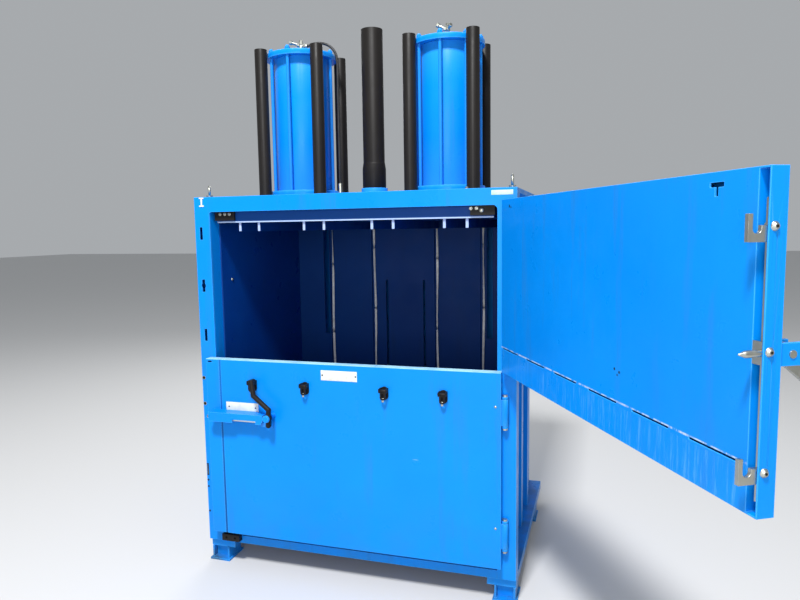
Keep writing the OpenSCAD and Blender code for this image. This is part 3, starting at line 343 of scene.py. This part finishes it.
def paint(name, colour, faded, dirt, rough=(0.25, 0.42), wear=0.0, dust=0.25, edge=None, extra=None):
    """Enamel on steel: soft fading, dust near the floor, fine orange peel, and chips where wear is above 0.

    edge is the colour of a painted highlight along sharp corners; extra(s, base) may lay marks, painted
    light and painted shade of one node over the paint."""
    s = Shader(name)
    fade = s.ramp(s.noise(scale=1.6, detail=5), 0.35, 0.7)
    base = s.blend(fade, colour, faded)
    streaks = s.ramp(s.noise(scale=3.0, detail=6, rough=0.65, stretch=(6, 6, 0.5)), 0.55, 0.8, to_value=0.3)
    base = s.blend(streaks, base, dirt)
    patches = s.ramp(s.noise(scale=7, detail=6), 0.35, 0.65)
    low = s.times(s.ramp(s.along("Z"), DUST_TOP, DUST_FULL), patches)
    base = s.blend(s.times(low, dust), base, dirt)
    if wear > 0:
        chips = s.ramp(s.noise(scale=26, detail=8, rough=0.7), 0.74 - 0.12 * wear, 0.76 - 0.12 * wear)
        rust = s.blend(s.ramp(s.noise(scale=60, detail=4), 0.4, 0.6), RUST, DARK_RUST)
        base = s.blend(chips, base, rust)
    if extra:
        base = extra(s, base)
    if edge:
        # Painted highlight: sharp corners lightened towards the edge colour
        base = s.blend(s.times(s.corners(), EDGE_HIGHLIGHT_SHARE), base, edge)
    gloss = s.ramp(s.noise(scale=9, detail=6), 0.3, 0.7, *rough)
    peel = s.bump(s.noise(scale=420, detail=2, rough=0.5), PEEL_DEPTH)
    dents = s.bump(s.noise(scale=2.3, detail=2, rough=0.4), DENT_DEPTH, DENT_SHARE, peel)
    return s.set(Base_Color=base, Roughness=gloss, Specular_IOR_Level=PAINT_SHINE, Normal=dents)


def metal(name, colour, dark, rough=(0.28, 0.5), grain=(1, 1, 1), tarnish=0.35):
    """Bare or plated metal with a grain and some tarnish."""
    s = Shader(name)
    stain = s.ramp(s.noise(scale=14, detail=6), 0.4, 0.7, to_value=tarnish)
    base = s.blend(stain, colour, dark)
    gloss = s.ramp(s.noise(scale=60, detail=4, stretch=grain), 0.3, 0.7, *rough)
    scratches = s.bump(s.noise(scale=300, detail=3, rough=0.5, stretch=grain), 0.00008)
    return s.set(Base_Color=base, Metallic=1.0, Roughness=gloss, Normal=scratches)


def soft(name, colour, dark, rough, depth=0.0001, scale=900):
    """Rubber, plastic or webbing; depth and scale are those of its grain."""
    s = Shader(name)
    base = s.blend(s.ramp(s.noise(scale=30, detail=5), 0.35, 0.7), colour, dark)
    return s.set(Base_Color=base, Roughness=rough, Normal=s.bump(s.noise(scale, detail=3), depth))


BLUE = (0.0006, 0.220, 0.74)
FADED_BLUE = (0.0012, 0.245, 0.79)
# Painted highlight along the sharp corners of the blue paint
EDGE_HIGHLIGHT_BLUE = (0.09, 0.46, 0.92)
GRIME = (0.05, 0.10, 0.15)
# Painted shade of the side walls' insides
WALL_SHADE_NAVY = (0.0008, 0.036, 0.25)
FADED_SHADE_NAVY = (0.0012, 0.052, 0.29)
# Painted shade: deep navy for the chamber's inner parts, which lie in shade
DEEP_SHADE_NAVY = (0.0005, 0.030, 0.17)
FADED_DEEP_SHADE_NAVY = (0.001, 0.042, 0.20)
NAVY_DIRT = (0.008, 0.025, 0.06)
PLATE_DIRT = (0.02, 0.025, 0.035)
PLATE_ROUGH = (0.35, 0.6)
BLACK = (0.009, 0.008, 0.0075)
FADED_BLACK = (0.014, 0.012, 0.011)
BLACK_DIRT = (0.03, 0.024, 0.02)
RUST = (0.16, 0.055, 0.022)
DARK_RUST = (0.06, 0.03, 0.018)
MATERIALS = {
    "blue_paint": paint("blue_paint", BLUE, FADED_BLUE, GRIME, edge=EDGE_HIGHLIGHT_BLUE),
    # Painted shade: the inner parts darkened as in shade; its chips and rust are real wear
    "worn_blue_paint": paint(
        "worn_blue_paint", DEEP_SHADE_NAVY, FADED_DEEP_SHADE_NAVY, NAVY_DIRT, rough=(0.45, 0.65), wear=0.2, dust=0.6
    ),
    "black_paint": paint("black_paint", BLACK, FADED_BLACK, BLACK_DIRT, rough=(0.38, 0.55)),
    "black_rubber": soft("black_rubber", (0.008, 0.008, 0.009), (0.02, 0.02, 0.02), rough=0.5),
    "zinc_plate": metal("zinc_plate", (0.50, 0.51, 0.46), (0.30, 0.29, 0.22)),
    "bare_steel": metal(
        "bare_steel", (0.62, 0.62, 0.63), (0.35, 0.33, 0.31), rough=(0.18, 0.35), grain=(1, 1, 30)
    ),
    "strap_fabric": soft(
        "strap_fabric", (0.90, 0.91, 0.90), (0.62, 0.62, 0.60), rough=0.7, depth=0.0005, scale=500
    ),
    "white_grip": soft("white_grip", (0.78, 0.78, 0.75), (0.6, 0.6, 0.57), rough=0.45),
}
LABEL = soft("label_white", (0.74, 0.76, 0.75), (0.58, 0.58, 0.52), rough=0.5)
PALE_GREEN = soft("label_green", (0.55, 0.72, 0.60), (0.42, 0.58, 0.48), rough=0.5)
YELLOW_ZINC = metal("yellow_zinc", (0.80, 0.66, 0.36), (0.45, 0.35, 0.18))

# Where single nodes have marks, painted light and painted shade of their own: colours, and places along X, Y
# or Z
WALL_RUB = (0.05, 0.09, 0.18)
WALL_MIDDLE_X = 0.6630
WALL_END_Y = -0.4033
# Painted light on the dark press plate: its lit front face and the bars' front ends
PLATE_FACE_LIGHT = (0.002, 0.05, 0.23)
PLATE_FACE_Z = (1.6472, 1.70)
PLATE_LIP_PALE = (0.42, 0.55, 0.80)
PLATE_LIP_Z = (1.6400, 1.6468)
BAR_END_LIGHT = (0.36, 0.46, 0.72)
SHEET_SCRATCH = (0.55, 0.62, 0.70)
SHEET_BEND_Z = (1.1195, 1.1245)
SHEET_END_X = 1.3575
# Painted light on the strip below the feed door's bend
STRIP_LIGHT = (0.10, 0.36, 0.80)
STRIP_Z = (1.018, 1.110)
# Painted shade in the bale door's groove
GROOVE_SHADE_BLUE = (0.001, 0.055, 0.22)
GROOVE_X = (-0.6250, -0.6155)
# Painted highlight along the bale door's top edge
DOOR_TOP_HIGHLIGHT = (0.42, 0.72, 0.90)
DOOR_TOP_Z = (1.0108, 1.02)
DOOR_SCRATCH = (0.45, 0.66, 0.85)
DOOR_SCRATCH_X = (0.309, 0.333)
DOOR_SCRATCH_Z = (0.6145, 0.6170)
# Painted highlight along the roof's front top edge
ROOF_EDGE_HIGHLIGHT = (0.30, 0.70, 0.90)
ROOF_EDGE_Z = (1.7572, 1.77)
BRIGHT_ZINC = (0.74, 0.72, 0.66)
ROD_SPLIT_X = -0.394


def inner_wall(s, base):
    """The inside of a side wall and its front end in dark navy as painted shade, with rub marks; the outside
    keeps the machine's blue.
    """
    split = WALL_MIDDLE_X
    left = s.ramp(s.along("X"), -split - 0.0005, -split + 0.0005)
    inside = s.times(left, s.ramp(s.along("X"), split + 0.0005, split - 0.0005))
    front_end = s.ramp(s.along("Y"), WALL_END_Y + 0.0003, WALL_END_Y - 0.0003)
    navy = s.blend(s.ramp(s.noise(scale=2.2, detail=6), 0.35, 0.7), WALL_SHADE_NAVY, FADED_SHADE_NAVY)
    # Painted shade: the wall's inside and front end turned navy
    base = s.blend(s.most(inside, front_end), base, navy)
    rub = s.ramp(s.noise(scale=5, detail=8, rough=0.7, stretch=(1, 1, 7)), 0.66, 0.74, to_value=0.35)
    return s.blend(s.times(inside, rub), base, WALL_RUB)


def plate_lip(s, base):
    """Painted light on the press plate's front face, lighter where it is lit, and a pale band along its
    lower edge.
    """
    base = s.blend(s.times(s.facing("Y", -1), s.band("Z", *PLATE_FACE_Z)), base, PLATE_FACE_LIGHT)
    return s.blend(s.times(s.facing("Y", -1), s.band("Z", *PLATE_LIP_Z)), base, PLATE_LIP_PALE)


def bar_ends(s, base):
    """The bars' front ends painted pale, as a painted highlight where the light falls on them."""
    return s.blend(s.facing("Y", -1), base, BAR_END_LIGHT)


def door_lip(s, base):
    """Scratches along the bend of the feed door's inner sheet, and painted light in streaks on the strip
    below it, lighter as its bent face catches the light.
    """
    ragged = s.ramp(s.noise(scale=14, detail=8, rough=0.7, stretch=(3, 3, 1)), 0.42, 0.56, to_value=0.9)
    scratch = s.times(s.band("Z", *SHEET_BEND_Z), ragged)
    inner = s.times(s.facing("X", -1), s.ramp(s.along("X"), SHEET_END_X + 0.0025, SHEET_END_X - 0.0025))
    base = s.blend(s.times(scratch, inner), base, SHEET_SCRATCH)
    # Painted light: streaks lighter on the strip below the bend, standing in for its bent face catching
    # light
    streaks = s.ramp(s.noise(scale=30, detail=6, rough=0.7, stretch=(3, 3, 0.25)), 0.52, 0.66, to_value=0.55)
    strip_light = s.times(s.band("Z", *STRIP_Z), streaks)
    return s.blend(s.times(strip_light, inner), base, STRIP_LIGHT)


def door_top(s, base):
    """Painted shade in the bale door's groove, darker towards its bottom, a painted highlight along its top
    edge, and a short scratch in its middle.
    """
    # Painted shade on the groove's floor, darker towards the bottom
    groove_shade = s.times(s.facing("Y", -1), s.band("X", *GROOVE_X, soft=0.0006))
    base = s.blend(s.times(groove_shade, s.ramp(s.along("Z"), 1.0, 0.4, 0.5, 0.88)), base, GROOVE_SHADE_BLUE)
    # Painted highlight along the top edge, uneven
    uneven = s.ramp(s.noise(scale=9, detail=6), 0.30, 0.55, 0.5, 1.0)
    base = s.blend(s.times(s.band("Z", *DOOR_TOP_Z, soft=0.0004), uneven), base, DOOR_TOP_HIGHLIGHT)
    scratch = s.times(s.band("Z", *DOOR_SCRATCH_Z, soft=0.0005), s.band("X", *DOOR_SCRATCH_X, soft=0.002))
    scratch = s.times(scratch, s.ramp(s.noise(scale=90, detail=4), 0.35, 0.6, to_value=0.8))
    return s.blend(scratch, base, DOOR_SCRATCH)


def roof_edge(s, base):
    """A painted highlight along the roof's upper edge at the front."""
    uneven = s.ramp(s.noise(scale=9, detail=6), 0.30, 0.55, 0.4, 0.9)
    highlight = s.times(s.band("Z", *ROOF_EDGE_Z, soft=0.0004), uneven)
    return s.blend(s.times(highlight, s.facing("Y", -1)), base, ROOF_EDGE_HIGHLIGHT)


def half_painted(name, split):
    """Zinc up to a place along X, and the machine's paint beyond it."""
    s = Shader(name)
    painted = s.ramp(s.along("X"), split - 0.001, split + 0.001)
    base = s.blend(painted, BRIGHT_ZINC, BLUE)
    return s.set(Base_Color=base, Metallic=s.ramp(painted, 0, 1, 1.0, 0.0), Roughness=0.35)


SPECIAL = {
    "left_wall": paint("wall_paint", BLUE, FADED_BLUE, GRIME, extra=inner_wall),
    # Painted shade: the press plate and its bars are deep navy as in shade, with painted light on their
    # fronts
    "press_plate": paint("plate_paint", DEEP_SHADE_NAVY, FADED_SHADE_NAVY, PLATE_DIRT, PLATE_ROUGH, extra=plate_lip),
    "plate_bars": paint("bar_paint", DEEP_SHADE_NAVY, FADED_SHADE_NAVY, PLATE_DIRT, PLATE_ROUGH, extra=bar_ends),
    "upper_door": paint("door_paint", BLUE, FADED_BLUE, GRIME, edge=EDGE_HIGHLIGHT_BLUE, extra=door_lip),
    "lower_door": paint("bale_door_paint", BLUE, FADED_BLUE, GRIME, edge=EDGE_HIGHLIGHT_BLUE, extra=door_top),
    "roof_plate": paint("roof_paint", BLUE, FADED_BLUE, GRIME, edge=EDGE_HIGHLIGHT_BLUE, extra=roof_edge),
    "lower_pull_rod": half_painted("pull_rod_paint", ROD_SPLIT_X),
}
SPECIAL["right_wall"] = SPECIAL["left_wall"]
for low_node in ("base_frame", "foot_plates", "sill_beam"):
    SPECIAL[low_node] = paint(f"{low_node}_paint", BLUE, FADED_BLUE, GRIME, dust=0.85, edge=EDGE_HIGHLIGHT_BLUE)

# Bevels of the solids, and the nodes that stay as they are because cords replace them
EDGE_WIDTH = 0.0011
EDGE_ANGLE = 40
WELD_DISTANCE = 0.00001
FACETED = ("left_hose", "right_hose", "strap_1", "strap_2", "strap_3", "strap_4")


def soften(o):
    """Welded corners with a small bevel, which catches the light as a painted edge does."""
    weld = o.modifiers.new("weld", "WELD")
    weld.merge_threshold = WELD_DISTANCE
    bevel = o.modifiers.new("bevel", "BEVEL")
    bevel.width = EDGE_WIDTH
    bevel.segments = 2
    bevel.limit_method = "ANGLE"
    bevel.angle_limit = math.radians(EDGE_ANGLE)
    bevel.harden_normals = True
    bevel.use_clamp_overlap = True


for node_name, node_object in NODES.items():
    node_object.data.materials.clear()
    node_object.data.materials.append(SPECIAL.get(node_name) or MATERIALS[SLOT_OF[node_name]])
    if node_name not in FACETED:
        soften(node_object)


# Small pieces

FRONT = Vector((0, -1, 0))
UP = Vector((0, 0, 1))
# Faces that carry small pieces: the frame's front, the bale door's front and the roof
FACE_Y = -0.485
DOOR_Y = -0.528
ROOF_Z = 1.760
# How deep a flat piece goes into the face that carries it, and how high a disc's chamfer is
SINK = 0.0002
RIM = 0.0002
# The feed door: its hinge, how far it stands open, and its inner sheet's distance from the hinge plane
DOOR_AT = Vector((0.700, -0.5075, 0.0))
DOOR_TURN = math.radians(119)
DOOR_PLACE = Matrix.Translation(DOOR_AT) @ Matrix.Rotation(DOOR_TURN, 4, "Z")
DOOR_IN_V = 0.0205


def finished(name, b, body, slot, material=None):
    """The bmesh as a piece of one body, smooth but for its sharp edges."""
    mesh = bpy.data.meshes.new(name)
    b.normal_update()
    b.to_mesh(mesh)
    b.free()
    for face in mesh.polygons:
        face.use_smooth = True
    mesh.set_sharp_from_angle(angle=math.radians(35))
    mesh.materials.append(material or MATERIALS[slot])
    o = bpy.data.objects.new(name, mesh)
    bpy.context.scene.collection.objects.link(o)
    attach(o, body)
    return o


def plate(b, low, high, edge=0.0006):
    """A box with softened edges between two corners."""
    low, high = Vector(low), Vector(high)
    made = bmesh.ops.create_cube(b, size=1.0)["verts"]
    place = Matrix.Translation((low + high) / 2) @ Matrix.Diagonal((*(high - low), 1))
    bmesh.ops.transform(b, matrix=place, verts=made)
    edges = list({e for v in made for e in v.link_edges})
    bmesh.ops.bevel(b, geom=edges, offset=edge, segments=2, affect="EDGES", profile=0.5)


def front_plate(b, face_y, thick, across, heights):
    """A flat plate on a face that looks to the front: its left and right, and its bottom and top."""
    plate(b, (across[0], face_y - thick, heights[0]), (across[1], face_y + SINK, heights[1]))


def turned(b, at, towards, profile, steps=20):
    """A turned shape at a point: profile pairs a distance along its axis with a radius."""
    turn = Vector(towards).to_track_quat("Z", "Y").to_matrix().to_4x4()
    place = Matrix.Translation(at) @ turn
    rings = []
    for along, radius in profile:
        ring = [
            b.verts.new(place @ Vector((radius * math.cos(a), radius * math.sin(a), along)))
            for a in [2 * math.pi * (i + 0.5) / steps for i in range(steps)]
        ]
        rings.append(ring)
    for one, two in zip(rings, rings[1:]):
        for i in range(steps):
            b.faces.new((one[i], one[(i + 1) % steps], two[(i + 1) % steps], two[i]))
    b.faces.new(rings[0][::-1])
    b.faces.new(rings[-1])


def disc(b, at, towards, radius, thick, steps, chamfer=0.0):
    """A flat disc, with a chamfered rim where chamfer is above 0; six steps make a hexagon."""
    profile = [(0, radius), (thick, radius)]
    if chamfer > 0:
        profile.append((thick + RIM, radius - chamfer))
    turned(b, at, towards, profile, steps)


def bolt(b, at, towards, size):
    """A washer under a hexagon head with a short thread end, all in shares of the head's width."""
    at, towards = Vector(at), Vector(towards)
    washer = ((0, 0.72), (0.12, 0.72), (0.14, 0.66))
    head = ((0, 0.56), (0.42, 0.56), (0.5, 0.48))
    thread = ((0, 0.3), (0.2, 0.3), (0.24, 0.25))
    for start, shares, steps in ((0, washer, 24), (0.13, head, 6), (0.5, thread, 14)):
        profile = [(size * along, size * radius) for along, radius in shares]
        turned(b, at + towards * size * start, towards, profile, steps)


def dome(b, at, towards, radius, height, rings=8):
    """A round head, like a rivet's or a knob's, with a small flat top."""
    angles = [i * math.pi / (2 * rings) for i in range(rings)]
    profile = [(height * math.sin(a), radius * math.cos(a)) for a in angles]
    turned(b, at, towards, profile + [(height, radius * 0.08)], 20)


def nipple(b, start, end, size):
    """A threaded nipple between two points with a hexagon nut at each end, in shares of the nut's size."""
    start, end = Vector(start), Vector(end)
    along = (end - start).normalized()
    length = (end - start).length
    turned(b, start, along, [(0, size * 0.34), (length, size * 0.34)], 18)
    nut = [(size * at, size * radius) for at, radius in ((0, 0.50), (0.06, 0.56), (0.64, 0.56), (0.7, 0.50))]
    for place in (0.0, length - size * 0.7):
        turned(b, start + along * place, along, nut, 6)


def door_point(u, v, z):
    """A point of the open feed door: u from the hinge to the free edge, v to its inner side."""
    return DOOR_PLACE @ Vector((-u, v, z))


def labels():
    """The two bare plates on the bale door, with their rivets, and the one on the header."""
    middle_label = ((-0.109, 0.061), (0.941, 0.986))
    left_label = ((-0.592, -0.425), (0.770, 0.814))
    header_label = ((0.640, 0.728), (1.731, 1.750))
    label_t = 0.0012
    header_label_t = 0.0010
    rivets = ((-0.577, 0.792), (-0.440, 0.792), (-0.102, 0.964), (0.054, 0.964))
    b = bmesh.new()
    for label in (middle_label, left_label):
        front_plate(b, DOOR_Y, label_t, *label)
    finished("door_label_plates", b, "bale_door", "white_grip", LABEL)
    b = bmesh.new()
    front_plate(b, FACE_Y, header_label_t, *header_label)
    finished("header_label_plate", b, "frame", "white_grip", PALE_GREEN)
    b = bmesh.new()
    for x, z in rivets:
        dome(b, (x, DOOR_Y - 0.001, z), FRONT, radius=0.0038, height=0.0016)
    finished("label_rivets", b, "bale_door", "black_paint")


def door_fittings():
    """The knob at the end of the cover, two hinge screws, and the tongues of the strap clamps."""
    knob_at = (-0.6555, -0.578, 0.754)
    screw_x = 0.664
    screw_heights = (0.870, 0.350)
    tongue_half_w = 0.0045
    tongue_front, tongue_back = -0.5545, -0.5520
    tongue_low, tongue_high = 0.866, 0.884
    b = bmesh.new()
    dome(b, knob_at, (-1, 0, 0), radius=0.0095, height=0.009)
    finished("cover_end_knob", b, "bale_door", "zinc_plate")
    b = bmesh.new()
    for z in screw_heights:
        dome(b, (screw_x, DOOR_Y - SINK, z), FRONT, radius=0.0055, height=0.003)
    finished("door_screws", b, "bale_door", "zinc_plate")
    b = bmesh.new()
    for x in STRAP_XS:
        low = (x - tongue_half_w, tongue_front, tongue_low)
        high = (x + tongue_half_w, tongue_back, tongue_high)
        plate(b, low, high, edge=0.0007)
    finished("clamp_tongues", b, "bale_door", "zinc_plate")


def frame_fittings():
    """Plugs, marks and a slotted plate on the left post, a roof bolt, and the clip in the front corner."""
    plug_x = -0.7345
    plug_heights = (0.910, 0.785)
    mark_x = -0.7365
    mark_heights = (0.406, 0.374, 0.250)
    slot_plate = ((-0.741, -0.731), (0.430, 0.489))
    slot_plate_t = 0.0012
    slot_x = (-0.7372, -0.7350)
    slot_heights = (0.436, 0.485)
    roof_bolt_at = (0.537, -0.470, ROOF_Z + SINK)
    clip_x = (-0.7155, -0.6910)
    clip_t = 0.0030
    clip_web_x = (-0.7070, -0.6995)
    clip_web_t = 0.0026
    b = bmesh.new()
    for z in plug_heights:
        disc(b, (plug_x, FACE_Y - 0.0008, z), FRONT, radius=0.0070, thick=0.0008, steps=24, chamfer=0.0006)
    for z in mark_heights:
        disc(b, (mark_x, FACE_Y - SINK, z), FRONT, radius=0.0045, thick=0.001, steps=18, chamfer=0.0005)
    front_plate(b, FACE_Y, slot_plate_t, *slot_plate)
    finished("post_plugs", b, "frame", "black_paint")
    b = bmesh.new()
    for z in plug_heights:
        disc(b, (plug_x, FACE_Y - 0.0001, z), FRONT, radius=0.0088, thick=0.0008, steps=24, chamfer=0.0006)
    low = (slot_x[0], FACE_Y - 0.0020, slot_heights[0])
    high = (slot_x[1], FACE_Y - 0.0010, slot_heights[1])
    plate(b, low, high, edge=0.0003)
    bolt(b, roof_bolt_at, UP, size=0.011)
    finished("post_screws", b, "frame", "zinc_plate")
    b = bmesh.new()
    front_plate(b, FACE_Y, clip_t, clip_x, (1.716, 1.722))
    front_plate(b, FACE_Y, clip_t, clip_x, (1.752, 1.758))
    front_plate(b, FACE_Y, clip_web_t, clip_web_x, (1.721, 1.753))
    finished("corner_clip", b, "frame", "white_grip", LABEL)


def door_inside():
    """Black discs as painted shade in the sockets of the guide bolts' round heads and in the small holes of
    the feed door's inner sheet.
    """
    guide_u, guide_v = 1.428, 0.0065
    guide_heights = (1.112, 1.353, 1.595)
    # Each hole's distance from the hinge, its height and its radius
    holes = (
        (0.096, 1.681, 0.006),
        (0.112, 1.676, 0.004),
        (0.880, 1.210, 0.004),
        (0.905, 1.205, 0.004),
        (0.895, 1.196, 0.003),
    )
    turn = DOOR_PLACE.to_3x3()
    outward = turn @ Vector((-1, 0, 0))
    inward = turn @ Vector((0, 1, 0))
    b = bmesh.new()
    # Painted shade: black discs where the sockets and holes are
    for z in guide_heights:
        disc(b, door_point(guide_u, guide_v, z), outward, radius=0.0030, thick=0.0006, steps=6)
    for u, z, radius in holes:
        disc(b, door_point(u, DOOR_IN_V - SINK, z), inward, radius, thick=0.0004, steps=14)
    finished("door_sockets", b, "feed_door", "black_paint")


def wall_bolt():
    """The round bolt on the left inner wall."""
    bolt_at = (-0.659, -0.3195, 1.367)
    b = bmesh.new()
    dome(b, bolt_at, (1, 0, 0), radius=0.008, height=0.005)
    finished("inner_wall_bolt", b, "frame", "zinc_plate")


def corner_seams():
    """The weld seams in the chamber's front corners, between the posts and the side walls."""
    outer, inner = 0.6665, 0.6592
    front, back = -0.4085, -0.4042
    bottom, top = 0.135, 1.700
    b = bmesh.new()
    for side in (-1, 1):
        low, high = sorted((side * outer, side * inner))
        plate(b, (low, front, bottom), (high, back, top), edge=0.0012)
    finished("corner_seams", b, "frame", "worn_blue_paint")


def roof_fittings():
    """Three bolts round the foot of each guard tube, in its flange."""
    guard_reach = 0.145
    circle_r = 0.039
    bolt_angles = (0.6, 2.7, 4.8)
    b = bmesh.new()
    for side in (-1, 1):
        for dx in (-guard_reach, guard_reach):
            for dy in (-guard_reach, guard_reach):
                for a in bolt_angles:
                    x = side * CYLINDER_X + dx + circle_r * math.cos(a)
                    y = CYLINDER_Y + dy + circle_r * math.sin(a)
                    bolt(b, (x, y, ROOF_Z), UP, size=0.009)
    finished("guard_bolts", b, "frame", "zinc_plate", YELLOW_ZINC)


def cap_fittings():
    """The branch fittings on top of the two cylinders, beside the elbows of the hoses."""
    # Each branch's start, end and size of nut
    branches = (
        ((0.366, -0.070, 2.512), (0.320, -0.070, 2.538), 0.020),
        ((0.371, -0.074, 2.508), (0.394, -0.104, 2.524), 0.018),
        ((0.371, -0.070, 2.512), (0.371, -0.070, 2.540), 0.017),
        ((-0.376, -0.072, 2.510), (-0.428, -0.078, 2.528), 0.020),
        ((-0.371, -0.070, 2.512), (-0.371, -0.070, 2.534), 0.017),
    )
    vent_reaches = {1: 0.0944, -1: 0.0896}
    vent_y = -0.118
    vent_foot, vent_top = 2.4535, 2.478
    b = bmesh.new()
    for start, end, size in branches:
        nipple(b, start, end, size)
    for side, reach in vent_reaches.items():
        x = side * CYLINDER_X + reach
        nipple(b, (x, vent_y, vent_foot), (x, vent_y, vent_top), size=0.017)
        dome(b, (x, vent_y, vent_top), UP, radius=0.0075, height=0.006)
    finished("cap_fittings", b, "frame", "zinc_plate")


def feet():
    """Closed ends of the skids and the front plates of the legs under them."""
    skid_outer, skid_inner = 0.7435, 0.6175
    end_front, end_back = -0.4648, -0.4608
    end_bottom, end_top = 0.0665, 0.1065
    leg_x = 0.695
    leg_ys = (-0.4405, 0.3895)
    leg_half_w = 0.036
    leg_half_t = 0.003
    leg_bottom, leg_top = 0.0105, 0.0655
    edge = 0.0008
    b = bmesh.new()
    for side in (-1, 1):
        low, high = sorted((side * skid_outer, side * skid_inner))
        plate(b, (low, end_front, end_bottom), (high, end_back, end_top), edge)
        for y in leg_ys:
            low = (side * leg_x - leg_half_w, y - leg_half_t, leg_bottom)
            high = (side * leg_x + leg_half_w, y + leg_half_t, leg_top)
            plate(b, low, high, edge)
    finished("leg_plates", b, "frame", "blue_paint")


def platen_fittings():
    """Screws and one round head in the press plate's pads."""
    pad_y = -0.4629
    screw_xs = (-0.622, -0.598, -0.574, 0.552, 0.575)
    screw_z = 1.680
    head_x, head_z = 0.596, 1.672
    b = bmesh.new()
    for x in screw_xs:
        bolt(b, (x, pad_y, screw_z), FRONT, size=0.010)
    dome(b, (head_x, pad_y, head_z), FRONT, radius=0.010, height=0.005)
    finished("pad_screws", b, "press", "zinc_plate")


labels()
door_fittings()
frame_fittings()
door_inside()
wall_bolt()
corner_seams()
roof_fittings()
cap_fittings()
feet()
platen_fittings()
cords()


# Stage and light: each lamp's name, place, target, size and power

LAMPS = (
    ("key", (0.4, -4.8, 7.4), (0.0, -0.2, 1.0), 1.0, 800),
    ("front_fill", (0.8, -5.0, 1.9), (0.0, 0.0, 1.2), 2.0, 70),
    ("right_fill", (4.6, -2.0, 2.6), (0.0, 0.0, 1.2), 3.0, 5),
    ("back_rim", (-1.5, 4.5, 4.5), (0.0, 0.2, 1.6), 3.0, 120),
)
FLOOR_HALF = 40
FLOOR_COLOUR = (0.60, 0.60, 0.60)
SKY_COLOUR = (0.92, 0.96, 1.0)
SKY_STRENGTH = 0.42


def lamp(name, at, towards, size, power):
    data = bpy.data.lights.new(name, "AREA")
    data.size = size
    data.energy = power
    o = bpy.data.objects.new(name, data)
    o.location = at
    o.rotation_mode = "QUATERNION"
    o.rotation_quaternion = (Vector(towards) - Vector(at)).to_track_quat("-Z", "Y")
    bpy.context.scene.collection.objects.link(o)


def studio():
    """A plain pale floor, a pale sky, a main lamp high in front, and soft light from the other sides."""
    mesh = bpy.data.meshes.new("floor")
    b = bmesh.new()
    bmesh.ops.create_grid(b, x_segments=1, y_segments=1, size=FLOOR_HALF)
    b.to_mesh(mesh)
    b.free()
    mesh.materials.append(Shader("floor").set(Base_Color=FLOOR_COLOUR, Roughness=0.9))
    floor = bpy.data.objects.new("floor", mesh)
    bpy.context.scene.collection.objects.link(floor)
    world = bpy.data.worlds.new("world")
    world.use_nodes = True
    background = world.node_tree.nodes["Background"]
    background.inputs["Color"].default_value = (*SKY_COLOUR, 1)
    background.inputs["Strength"].default_value = SKY_STRENGTH
    bpy.context.scene.world = world
    for values in LAMPS:
        lamp(*values)


studio()

bpy.context.scene.view_settings.view_transform = "Standard"
